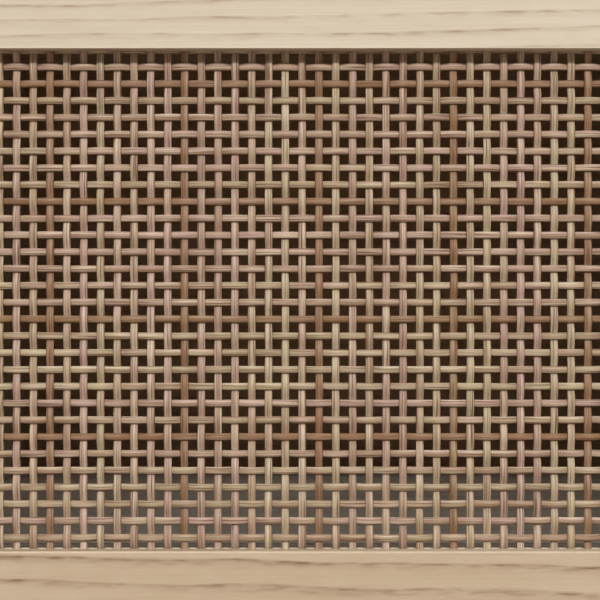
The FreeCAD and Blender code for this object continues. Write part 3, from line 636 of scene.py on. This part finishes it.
PANEL_WOOD = WoodFinish(
    "panel wood", srgb(217, 201, 176), srgb(207, 188, 160), srgb(160, 130, 98), srgb(228, 213, 191))
BOTTOM_WOOD = WoodFinish(
    "bottom wood", srgb(223, 214, 200), srgb(214, 203, 187), srgb(168, 146, 121), srgb(230, 221, 207))
# Both door woods paint a bright highlight along their eased arrises, over a wider reach than the other
# woods.
DOOR_WOOD = WoodFinish(
    "door wood", srgb(218, 205, 184), srgb(207, 192, 168), srgb(152, 125, 94), srgb(248, 235, 216),
    ring_spacing=6.5 * MM, slope=-0.015, edge_reach=1.4 * MM)
WARM_DOOR_WOOD = WoodFinish(
    "warm door wood", srgb(206, 185, 159), srgb(194, 170, 141), srgb(132, 101, 70), srgb(250, 230, 202),
    ring_strength=0.75, edge_reach=1.4 * MM)
LEG_WOOD = replace(PANEL_WOOD, name="leg wood", ring_spacing=5 * MM)
BACK_BOARD = WoodFinish(
    "back board", srgb(196, 164, 134), srgb(184, 152, 121), srgb(142, 110, 82), srgb(206, 176, 146),
    roughness=0.7)
DOWEL_WOOD = WoodFinish(
    "dowel wood", srgb(214, 190, 152), srgb(204, 178, 138), srgb(170, 138, 98), srgb(222, 202, 168),
    ring_spacing=2 * MM)
BRASS = MetalFinish(
    "brushed brass", (0.80, 0.60, 0.30, 1.0), (0.62, 0.44, 0.20, 1.0), (0.90, 0.72, 0.42, 1.0))
STEEL = MetalFinish(
    "plated steel", (0.54, 0.54, 0.55, 1.0), (0.40, 0.40, 0.40, 1.0), (0.70, 0.70, 0.70, 1.0))
ZINC = MetalFinish(
    "cast zinc", (0.58, 0.58, 0.59, 1.0), (0.44, 0.44, 0.44, 1.0), (0.72, 0.72, 0.73, 1.0), roughness=0.45)
DARK_PLASTIC = MouldedFinish("dark plastic", srgb(44, 41, 38), srgb(62, 58, 54))
GLIDE_PLASTIC = MouldedFinish("glide plastic", srgb(70, 64, 58), srgb(86, 80, 72), roughness=0.65)
BUMPER_RUBBER = MouldedFinish("bumper rubber", srgb(212, 210, 202), srgb(196, 193, 184), roughness=0.4)


class GeometryTree(SharedTree):
    """A geometry tree that ends in one whole mesh with its finish on it."""

    KIND = "GeometryNodeTree"
    OUTPUT = ("Geometry", "Geometry")

    @abstractmethod
    def shape(self) -> Socket:
        """Adds the nodes of the bare shape and returns its geometry."""

    def result(self) -> Socket:
        """Makes the shape whole and puts the finish on it.

        Returns:
            The dressed mesh.
        """
        whole = self.graph.out("GeometryNodeRealizeInstances", {"Geometry": self.shape()})
        dressed = {"Geometry": whole, "Material": self.given["Finish"]}
        return self.graph.out("GeometryNodeSetMaterial", dressed)

    def named(self, name: str, data_type: str = "FLOAT") -> Socket:
        """Reads what the geometry stores under a name."""
        return self.graph.out("GeometryNodeInputNamedAttribute", {"Name": name}, data_type=data_type)

    def store(self, geometry: Socket, name: str, value: Value, domain: str) -> Socket:
        """Stores a number on each part of the geometry that the domain names, and returns the geometry."""
        inputs = {"Geometry": geometry, "Name": name, "Value": value}
        return self.graph.out("GeometryNodeStoreNamedAttribute", inputs, data_type="FLOAT", domain=domain)

    @classmethod
    def make(cls, name: str, values: Inputs, start: bpy.types.Mesh | None = None) -> bpy.types.Object:
        """Runs the tree and keeps its result as a plain mesh object at the origin.

        Args:
            name: The piece's name.
            values: The tree's inputs by name.
            start: The mesh that the tree begins with, if it reads one.

        Returns:
            The finished object, with no modifier left on it.
        """
        piece = new_object(name, start or bpy.data.meshes.new(name))
        modifier = piece.modifiers.new("build", "NODES")
        modifier.node_group = cls.build()
        for item in modifier.node_group.interface.items_tree:
            if item.in_out == "INPUT" and item.name in values:
                modifier[item.identifier] = values[item.name]
        evaluated = piece.evaluated_get(bpy.context.evaluated_depsgraph_get())
        mesh = bpy.data.meshes.new_from_object(evaluated)
        piece.modifiers.remove(modifier)
        piece.data = mesh
        mesh.name = name
        return piece


class StrandTree(GeometryTree):
    """One family of parallel strands that go over one and under one."""

    NAME = "woven strands"
    INPUTS = {
        "Vector": ("Start", "Reach", "Step", "Crossing"),
        "Int": ("Count", "First", "Samples", "Seed"),
        "Float": ("Pitch", "Depth", "Width", "Thickness", "Roundness", "Wobble", "Uneven", "Brown Every",
                  "Brown Shift"),
        "Material": ("Finish",),
    }
    STRAND = "strand"
    TONE = "reed_tone"
    SHADE = "reed_shade"
    BROWN = "reed_brown"
    PROFILE_POINTS = 10
    FLAT_CREST = 1.1
    WIDTH_STEP = 2
    WOBBLE_LENGTH = 30 * MM
    WOBBLE_STEP = 7.31

    def shape(self) -> Socket:
        """Lays the strands and weaves them.

        Returns:
            The strands as one smooth mesh.
        """
        curves = {"Curve": self._woven(self._laid_out()), "Profile Curve": self._profile()}
        mesh = self.graph.out("GeometryNodeCurveToMesh", {**curves, "Fill Caps": True})
        return self.graph.out("GeometryNodeSetShadeSmooth", {"Geometry": mesh})

    def _chance(self, step: int) -> Socket:
        """Gives each strand a number from 0 to 1, another for each step."""
        inputs = {"ID": self.named(self.STRAND), "Seed": self.graph.math("ADD", self.given["Seed"], step)}
        return self.graph.out("FunctionNodeRandomValue", inputs, data_type="FLOAT")

    def _laid_out(self) -> Socket:
        """Lays the straight strands side by side, each with its number and its tones.

        Returns:
            The strands as curves.
        """
        graph, given = self.graph, self.given
        line = graph.out("GeometryNodeCurvePrimitiveLine", {"Start": (0, 0, 0), "End": given["Reach"]})
        strand = graph.out("GeometryNodeResampleCurve", {"Curve": line, "Count": given["Samples"]})
        row = {"Count": given["Count"], "Start Location": given["Start"], "Offset": given["Step"]}
        feet = graph.out("GeometryNodeMeshLine", row)
        laid = graph.out("GeometryNodeInstanceOnPoints", {"Points": feet, "Instance": strand})
        number = graph.math("ADD", graph.out("GeometryNodeInputIndex"), given["First"])
        laid = self.store(laid, self.STRAND, number, "INSTANCE")
        curves = graph.out("GeometryNodeRealizeInstances", {"Geometry": laid})
        for step, name in enumerate((self.TONE, self.SHADE)):
            curves = self.store(curves, name, self._chance(step), "CURVE")
        count = graph.math("ADD", self.named(self.STRAND), given["Brown Shift"])
        turn = graph.math("FLOORED_MODULO", count, given["Brown Every"])
        return self.store(curves, self.BROWN, graph.math("LESS_THAN", turn, 0.5), "CURVE")

    def _woven(self, curves: Socket) -> Socket:
        """Bends the strands in and out at the crossings, and lets them wander a little.

        Args:
            curves: The straight strands.

        Returns:
            The woven strands.
        """
        graph, given = self.graph, self.given
        away = graph.vector("SUBTRACT", graph.out("GeometryNodeInputPosition"), given["Crossing"])
        run = graph.vector("DOT_PRODUCT", away, graph.vector("NORMALIZE", given["Reach"]))
        number = self.named(self.STRAND)
        turns = graph.math("ADD", graph.math("DIVIDE", run, given["Pitch"]), number)
        swing = graph.math("COSINE", graph.math("MULTIPLY", turns, math.pi))
        crest = graph.math("TANH", graph.math("MULTIPLY", swing, self.FLAT_CREST))
        level = graph.math("DIVIDE", crest, math.tanh(self.FLAT_CREST))
        depth = graph.math("MULTIPLY", level, given["Depth"])
        own = graph.math("MULTIPLY", number, self.WOBBLE_STEP)
        waves = {"W": own, "Scale": 1 / self.WOBBLE_LENGTH, "Detail": 1.0}
        wander = graph.centred(graph.out("ShaderNodeTexNoise", waves, noise_dimensions="4D"))
        drift = graph.math("MULTIPLY", wander, given["Wobble"])
        sideways = graph.vector("NORMALIZE", given["Step"])
        aside = graph.out("ShaderNodeVectorMath", {0: sideways, "Scale": drift}, operation="SCALE")
        offset = graph.vector("ADD", graph.join(y=depth), aside)
        moved = graph.out("GeometryNodeSetPosition", {"Geometry": curves, "Offset": offset})
        spread = graph.math("MULTIPLY", graph.centred(self._chance(self.WIDTH_STEP)), given["Uneven"])
        radius = graph.math("ADD", 1.0, spread)
        sized = graph.out("GeometryNodeSetCurveRadius", {"Curve": moved, "Radius": radius})
        upright = {"Curve": sized, "Normal": Facing.FRONT.value}
        return graph.out("GeometryNodeSetCurveNormal", upright, mode="FREE")

    def _profile(self) -> Socket:
        """Shapes the section of a strand: a flattened round, wider than thick.

        Returns:
            The section as a closed curve.
        """
        graph = self.graph
        unit = {"Resolution": self.PROFILE_POINTS, "Radius": 1.0}
        circle = graph.out("GeometryNodeCurvePrimitiveCircle", unit)
        parts = graph.split(graph.out("GeometryNodeInputPosition"))
        thick = self._squared(parts["X"], self.given["Thickness"])
        wide = self._squared(parts["Y"], self.given["Width"])
        place = graph.join(thick, wide)
        return graph.out("GeometryNodeSetPosition", {"Geometry": circle, "Position": place})

    def _squared(self, value: Socket, size: Socket) -> Socket:
        """Pushes one coordinate of the section out towards a rounded rectangle.

        Args:
            value: The coordinate on the unit circle.
            size: The rectangle's size along it.

        Returns:
            The new coordinate.
        """
        graph = self.graph
        full = graph.math("POWER", graph.math("ABSOLUTE", value), self.given["Roundness"])
        signed = graph.math("MULTIPLY", full, graph.math("SIGN", value))
        return graph.math("MULTIPLY", signed, graph.math("MULTIPLY", size, 0.5))


class FastenerTree(GeometryTree):
    """One kind of head on every point of a mesh, turned the way that the point faces."""

    NAME = "fastener heads"
    INPUTS = {
        "Geometry": ("Geometry",),
        "Float": ("Radius", "Proud", "Sunk"),
        "Bool": ("Crossed",),
        "Int": ("Seed",),
        "Material": ("Finish",),
    }
    FACING = "facing"
    DRIVE = "drive"
    SIDES = 16
    CROWN = 0.84
    ARM_LENGTH = 1.15
    ARM_WIDTH = 0.27
    CONTACT_SHADOW_WIDTH = 1.1
    DARK_HEIGHT = 0.04 * MM

    def shape(self) -> Socket:
        """Sets a head on each point, with its cross turned at random.

        Returns:
            The heads as instances.
        """
        graph, given = self.graph, self.given
        facing = {"Vector": self.named(self.FACING, "FLOAT_VECTOR")}
        upright = graph.out("FunctionNodeAlignRotationToVector", facing, axis="Z")
        turn = {"Max": math.tau, "Seed": given["Seed"]}
        spin = graph.join(z=graph.out("FunctionNodeRandomValue", turn, data_type="FLOAT"))
        turned = {"Rotation": upright, "Rotate By": spin}
        way = graph.out("FunctionNodeRotateRotation", turned, rotation_space="LOCAL")
        heads = {"Points": given["Geometry"], "Instance": self._head(), "Rotation": way}
        return graph.out("GeometryNodeInstanceOnPoints", heads)

    def _head(self) -> Socket:
        """Shapes one head: a low frustum, and if it is crossed a thin dark disc of painted contact shadow
        under its rim and a dark cross of painted shade for the driver's recess.

        Returns:
            The head, standing on the point and facing up.
        """
        graph, given = self.graph, self.given
        proud, sunk = given["Proud"], given["Sunk"]
        crown, long, wide, contact_shadow = (
            graph.math("MULTIPLY", given["Radius"], share)
            for share in (self.CROWN, self.ARM_LENGTH, self.ARM_WIDTH, self.CONTACT_SHADOW_WIDTH))
        cone = graph.out("GeometryNodeMeshCone", {
            "Vertices": self.SIDES, "Radius Top": crown, "Radius Bottom": given["Radius"],
            "Depth": graph.math("ADD", proud, sunk),
        }, fill_type="NGON")
        head = self._raised(cone, graph.math("MULTIPLY", sunk, -1.0))
        # The cross and the disc are painted shade: the shadow in the recess and round the head, as thin
        # dark sheets.
        dark = []
        for x, y in ((long, wide), (wide, long)):
            arm = graph.out("GeometryNodeMeshCube", {"Size": graph.join(x, y, self.DARK_HEIGHT)})
            dark.append(self._raised(arm, proud))
        disc = {"Vertices": self.SIDES, "Radius": contact_shadow, "Depth": self.DARK_HEIGHT}
        dark.append(graph.out("GeometryNodeMeshCylinder", disc))
        drive = self.store(self._together(dark), self.DRIVE, 1.0, "POINT")
        choice = {"Switch": given["Crossed"], "False": head, "True": self._together([head, drive])}
        return graph.out("GeometryNodeSwitch", choice, input_type="GEOMETRY")

    def _raised(self, shape: Socket, rise: Socket) -> Socket:
        """Moves a shape up by a height and returns it."""
        inputs = {"Geometry": shape, "Translation": self.graph.join(z=rise)}
        return self.graph.out("GeometryNodeTransform", inputs)

    def _together(self, shapes: list[Socket]) -> Socket:
        """Joins some shapes and returns them as one."""
        return self.graph.out("GeometryNodeJoinGeometry", {"Geometry": shapes})


@dataclass(frozen=True)
class Fastener:
    """One kind of head, with its sizes and its metal."""

    radius: float
    proud: float
    slot: str = "steel"
    finish: MetalFinish = STEEL
    grain: Axis = Axis.X
    crossed: bool = True
    sunk: float = 0.6 * MM


@dataclass
class Fasteners:
    """The screws and pins of the hinges, leg plates, catches, strike plates and back panels."""

    hinge_y: float
    hinge_screw: Fastener = Fastener(2.7 * MM, 0.10 * MM, "brass", BRASS, Axis.Z)
    plate_screw: Fastener = Fastener(4.0 * MM, 1.8 * MM)
    catch_screw: Fastener = Fastener(2.8 * MM, 0.5 * MM)
    strike_screw: Fastener = Fastener(2.2 * MM, 0.08 * MM)
    back_pin: Fastener = Fastener(2.0 * MM, 0.5 * MM, crossed=False)
    leaf_half_gap: float = 0.2 * MM
    leaf_screw_inset: float = 8.5 * MM
    leaf_screw_heights: tuple[float, ...] = (8 * MM, 25 * MM, 42 * MM)
    plate_size: float = 62 * MM
    plate_screw_inset: float = 8 * MM
    catch_screw_spread: float = 18.5 * MM
    strike_screw_spread: float = 12 * MM
    back_pin_inset: float = 6 * MM
    back_pin_pitch: float = 115 * MM

    def build(self) -> None:
        """Sets every fastener on the body that it holds to."""
        frame_screws: list[Vector] = []
        catch_screws: list[Vector] = []
        for side in Side:
            door = f"{side.label}_door"
            frame_screws += self._leaf_points(side, self.hinge_y + self.leaf_half_gap)
            door_screws = self._leaf_points(side, self.hinge_y - self.leaf_half_gap)
            strike_screws = self._pair(f"{side.label}_strike_plate", self.strike_screw_spread, Facing.BACK)
            catch_screws += self._pair(f"{side.label}_catch_body", self.catch_screw_spread, Facing.DOWN)
            self._set(f"{door}_hinge_screws", self.hinge_screw, door_screws, Facing.BACK, door)
            self._set(f"{door}_strike_screws", self.strike_screw, strike_screws, Facing.BACK, door)
        self._set("frame_hinge_screws", self.hinge_screw, frame_screws, Facing.FRONT, "cabinet")
        self._set("leg_plate_screws", self.plate_screw, self._plate_points(), Facing.DOWN, "cabinet")
        self._set("catch_screws", self.catch_screw, catch_screws, Facing.DOWN, "cabinet")
        self._set("back_panel_pins", self.back_pin, self._pin_points(), Facing.BACK, "cabinet")

    def _leaf_points(self, side: Side, y: float) -> list[Vector]:
        """Finds the screws in one side's hinge leaves.

        Args:
            side: The door that they hang.
            y: The depth of the leaves' inner faces.

        Returns:
            The places of the screws.
        """
        low, high = corners(f"{side.label}_hinge_frame_leaves")
        panel = corners(f"{side.label}_side_panel")
        outer = panel[0].x if side is Side.LEFT else panel[1].x
        x = outer - side.value * self.leaf_screw_inset
        lower = [low.z + rise for rise in self.leaf_screw_heights]
        upper = [high.z - rise for rise in self.leaf_screw_heights]
        return [Vector((x, y, z)) for z in lower + upper]

    @staticmethod
    def _pair(node: str, spread: float, facing: Facing) -> list[Vector]:
        """Finds two screws in one side of a CAD node, each a spread away from the middle."""
        return [face(node, facing) + Vector((offset, 0, 0)) for offset in (-spread, spread)]

    def _plate_points(self) -> list[Vector]:
        """Finds the screws at the corners of the leg plates.

        Returns:
            The places of the screws.
        """
        low, high = corners("leg_plates")
        insets = self.plate_screw_inset, self.plate_size - self.plate_screw_inset
        columns = [low.x + inset for inset in insets], [high.x - inset for inset in insets]
        rows = [low.y + inset for inset in insets], [high.y - inset for inset in insets]
        return [Vector((x, y, low.z)) for ys in rows for xs in columns for x in xs for y in ys]

    def _pin_points(self) -> list[Vector]:
        """Finds the pins round the edges of the back panels.

        Returns:
            The places of the pins.
        """
        points = []
        inset = self.back_pin_inset
        for name in ("left_back_panel", "centre_back_panel", "right_back_panel"):
            low, high = corners(name)
            x0, x1, z0, z1 = low.x + inset, high.x - inset, low.z + inset, high.z - inset
            columns, rows = (round(span / self.back_pin_pitch) for span in (x1 - x0, z1 - z0))
            for column in range(columns + 1):
                x = x0 + (x1 - x0) * column / columns
                points += [Vector((x, high.y, z)) for z in (z0, z1)]
            for row in range(1, rows):
                z = z0 + (z1 - z0) * row / rows
                points += [Vector((x, high.y, z)) for x in (x0, x1)]
        return points

    @staticmethod
    def _set(name: str, kind: Fastener, points: Sequence[Vector], facing: Facing, body: str) -> None:
        """Sets one kind of fastener on its points.

        Args:
            name: The piece's name.
            kind: The head.
            points: Where the heads sit.
            facing: The way that they look.
            body: The body that they ride on.
        """
        seats = bpy.data.meshes.new(f"{name}_seats")
        seats.from_pydata(points, [], [])
        for way in seats.attributes.new(FastenerTree.FACING, "FLOAT_VECTOR", "POINT").data:
            way.vector = facing.value
        piece = FastenerTree.make(name, {
            "Radius": kind.radius, "Proud": kind.proud, "Sunk": kind.sunk, "Crossed": kind.crossed,
            "Seed": len(points), "Finish": kind.finish.material(kind.grain),
        }, seats)
        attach(piece, body)
        LOG.info("%s: %d heads", name, len(points))


@dataclass(frozen=True)
class Strands:
    """One family of strands: its way, its section, its swing, and how often a brown strand comes."""

    name: str
    axis: Axis
    width: float
    roundness: float
    depth: float
    brown_every: float
    brown_shift: float


@dataclass
class Webbing:
    """The woven panel of one door: warps up and down, wefts across, one over and one under."""

    side: Side
    finish: ReedFinish = ReedFinish()
    warps: Strands = Strands("warps", Axis.Z, 3.2 * MM, 0.74, 0.78 * MM, 8.0, 2.0)
    wefts: Strands = Strands("wefts", Axis.X, 2.95 * MM, 0.86, -0.78 * MM, 7.0, 1.0)
    pitch: float = 7.0 * MM
    thickness: float = 1.55 * MM
    warp_offset: float = 0.90 * MM
    weft_offset: float = -0.94 * MM
    samples_per_pitch: float = 5.7
    wobble: float = 0.5 * MM
    uneven: float = 0.12
    seed: int = 11

    def build(self) -> None:
        """Builds both families of strands."""
        for strands in (self.warps, self.wefts):
            self._weave(strands)

    def _weave(self, strands: Strands) -> None:
        """Builds one family of strands in the place of the CAD node, and puts it on the door.

        Args:
            strands: The family.
        """
        node = f"{self.side.label}_door_webbing"
        low, high = corners(node)
        crossing = (low + high) / 2 + Vector((self.warp_offset, 0, self.weft_offset))
        run, step = (2, 0) if strands.axis is Axis.Z else (0, 2)
        margin = strands.width / 2 + self.wobble
        first = math.ceil((low[step] + margin - crossing[step]) / self.pitch)
        last = math.floor((high[step] - margin - crossing[step]) / self.pitch)
        length = high[run] - low[run]
        start, reach, stride = crossing.copy(), Vector(), Vector()
        start[run] = low[run]
        start[step] = crossing[step] + first * self.pitch
        reach[run] = length
        stride[step] = self.pitch
        piece = StrandTree.make(f"{self.side.label}_reed_{strands.name}", {
            "Start": start, "Reach": reach, "Step": stride, "Crossing": crossing, "Pitch": self.pitch,
            "Count": last - first + 1, "First": first, "Seed": self.seed + run,
            "Samples": int(length / self.pitch * self.samples_per_pitch),
            "Width": strands.width, "Thickness": self.thickness, "Roundness": strands.roundness,
            "Depth": strands.depth, "Wobble": self.wobble, "Uneven": self.uneven,
            "Brown Every": strands.brown_every, "Brown Shift": strands.brown_shift,
            "Finish": self.finish.material(strands.axis),
        })
        turn_outwards(piece)
        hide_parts(node)
        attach(piece, f"{self.side.label}_door")
        LOG.info("%s: %d strands, %d faces", piece.name, last - first + 1, len(piece.data.polygons))


@dataclass(frozen=True)
class Lamp:
    """One area lamp: where it hangs, the point that it faces, its width and height, and its watts."""

    name: str
    place: Place
    aim: Place
    size: Span
    power: float

    def hang(self) -> None:
        """Hangs the lamp, unseen by the camera."""
        lamp = bpy.data.lights.new(self.name, "AREA")
        lamp.shape = "RECTANGLE"
        lamp.size, lamp.size_y = self.size
        lamp.energy = self.power
        holder = new_object(self.name, lamp)
        holder.location = self.place
        sight = Vector(self.aim) - Vector(self.place)
        holder.rotation_euler = sight.to_track_quat("-Z", "Y").to_euler()
        holder.visible_camera = False


@dataclass
class Studio:
    """Pale floor, soft lights, and a camera square to the left door."""

    field_width: float = 250 * MM
    camera_distance: float = 800 * MM
    sight_shift: float = -21 * MM
    sensor: float = 36.0
    near_clip: float = 10 * MM
    floor_size: float = 14.0
    floor_pale: Colour = srgb(214, 212, 208)
    floor_dim: Colour = srgb(207, 205, 200)
    floor_bounce: Colour = srgb(128, 112, 94)
    floor_cloud: Streak = Streak(0.9, 0.9, 3.0)
    floor_fade: Ramp = (0.9, 2.6, 0.4, 1.0)
    floor_roughness: float = 0.7
    background: Colour = (0.86, 0.86, 0.85, 1.0)
    ambient: Colour = (1.0, 0.99, 0.98, 1.0)
    ambient_strength: float = 0.32
    lamps: tuple[Lamp, ...] = (
        Lamp("key", (-0.3, -4.23, 2.82), (-0.2, -0.1, 0.3), (4.8, 0.4), 201.0),
        Lamp("over", (0.0, -0.3, 2.3), (0.0, 0.0, 0.3), (2.0, 1.2), 13.0),
        Lamp("rear", (-0.6, 2.2, 1.7), (0.0, 0.1, 0.3), (1.8, 1.0), 18.0),
        Lamp("left", (-2.3, 0.3, 0.75), (-0.7, 0.05, 0.3), (1.0, 0.8), 8.0),
        Lamp("right", (2.3, 0.3, 0.75), (0.7, 0.05, 0.3), (1.0, 0.8), 8.0),
    )

    def build(self) -> None:
        """Builds the floor, the world, the lamps and the camera."""
        self._floor()
        self._world()
        for lamp in self.lamps:
            lamp.hang()
        self._camera()

    @staticmethod
    def _seen(graph: Graph) -> Socket:
        """Gives 1 to what the camera or a reflection sees, and 0 to light that falls on the object."""
        paths = graph.add("ShaderNodeLightPath").outputs
        return graph.math("MAXIMUM", paths["Is Camera Ray"], paths["Is Glossy Ray"])

    def _floor(self) -> None:
        """Lays the floor, which keeps the object's shadow and fades into the background."""
        half = self.floor_size / 2
        rim = [(-half, -half, 0), (half, -half, 0), (half, half, 0), (-half, half, 0)]
        mesh = bpy.data.meshes.new("floor")
        mesh.from_pydata(rim, [], [(0, 1, 2, 3)])
        floor = new_object("floor", mesh)
        surface = Surface("pale floor", Axis.X, self.floor_roughness)
        graph = surface.graph
        seen = self._seen(graph)
        pale = graph.layered(self.floor_pale, (surface.noise(self.floor_cloud), self.floor_dim))
        surface.feed({"Base Color": graph.layered(self.floor_bounce, (seen, pale))})
        fade = graph.remap(graph.vector("LENGTH", surface.place), *self.floor_fade)
        glow = graph.out("ShaderNodeEmission", {"Color": self.background, "Strength": 1.0})
        shown = graph.math("MULTIPLY", seen, fade)
        mixed = graph.out("ShaderNodeMixShader", {0: shown, 1: surface.shader.outputs[0], 2: glow})
        graph.feed(graph.tree.nodes["Material Output"].inputs["Surface"], mixed)
        mesh.materials.append(surface.material)

    def _world(self) -> None:
        """Sets the soft light from all round, with a pale background behind the object."""
        world = bpy.data.worlds.new("studio")
        bpy.context.scene.world = world
        world.use_nodes = True
        world.node_tree.nodes.clear()
        graph = Graph(world.node_tree)
        lights = ((self.ambient, self.ambient_strength), (self.background, 1.0))
        soft, pale = (
            graph.out("ShaderNodeBackground", {"Color": colour, "Strength": strength})
            for colour, strength in lights)
        mixed = graph.out("ShaderNodeMixShader", {0: self._seen(graph), 1: soft, 2: pale})
        graph.add("ShaderNodeOutputWorld", {"Surface": mixed})

    def _camera(self) -> None:
        """Sets the camera square to the left door, at the height of the webbing's middle."""
        low, high = corners("left_door_webbing")
        camera = bpy.data.cameras.new("camera")
        camera.sensor_width = self.sensor
        camera.lens = self.sensor * self.camera_distance / self.field_width
        camera.clip_start = self.near_clip
        holder = new_object("camera", camera)
        holder.location = (low + high) / 2 + Vector((self.sight_shift, -self.camera_distance, 0))
        holder.rotation_euler = (math.pi / 2, 0, 0)
        bpy.context.scene.camera = holder


@dataclass
class Cabinet:
    """The CAD nodes of the whole stand with their finishes."""

    nodes: Mapping[str, bpy.types.Object]

    def dress(self) -> None:
        """Gives every CAD node its material."""
        looks: dict[Axis, dict[Finish, list[str]]] = {
            Axis.X: {
                PANEL_WOOD: ["top_panel", "centre_shelf"],
                BOTTOM_WOOD: ["bottom_panel"],
                BACK_BOARD: ["centre_back_panel", *both("back_panel")],
                DOOR_WOOD: both("door_top_rail", "door_beads"),
                WARM_DOOR_WOOD: both("door_bottom_rail"),
                BRASS: ["shelf_pins"],
                STEEL: ["leg_plates", "divider_screws", *both("strike_plate", "catch_poles")],
                ZINC: ["cam_discs", "cam_bolts"],
                DARK_PLASTIC: ["cable_grommet", *both("catch_body")],
                GLIDE_PLASTIC: ["foot_glides"],
                BUMPER_RUBBER: both("door_bumpers"),
            },
            Axis.Z: {
                PANEL_WOOD: both("side_panel", "divider"),
                LEG_WOOD: ["leg_front_left", "leg_front_right", "leg_rear_left", "leg_rear_right"],
                DOWEL_WOOD: ["carcass_dowels"],
                DOOR_WOOD: both("door_hinge_stile", "door_closing_stile"),
                BRASS: both("hinge_frame_leaves", "hinge_door_leaves", "hinge_pins", "knob"),
                STEEL: ["hanger_bolts", *both("knob_screw")],
            },
        }
        for axis, finishes in looks.items():
            for finish, names in finishes.items():
                self._paint(names, finish.material(axis))

    def _paint(self, names: Iterable[str], material: bpy.types.Material) -> None:
        """Gives some nodes one material.

        Args:
            names: The nodes.
            material: The material.
        """
        for name in names:
            for slot in self.nodes[name].material_slots:
                slot.material = material
            LOG.info("%s: %s", name, material.name)


def main() -> None:
    """Builds the stand's looks and the studio around it."""
    logging.basicConfig(level=logging.INFO, format="%(name)s: %(message)s")
    bpy.context.scene.view_settings.view_transform = "Standard"
    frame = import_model()
    Studio().build()
    Cabinet(frame["nodes"]).dress()
    for side in Side:
        Webbing(side).build()
    first_hinge = frame["record"]["behaviour"]["joints"][0]
    Fasteners(hinge_y=first_hinge["pos_m"][1]).build()


if __name__ == "__main__":
    main()
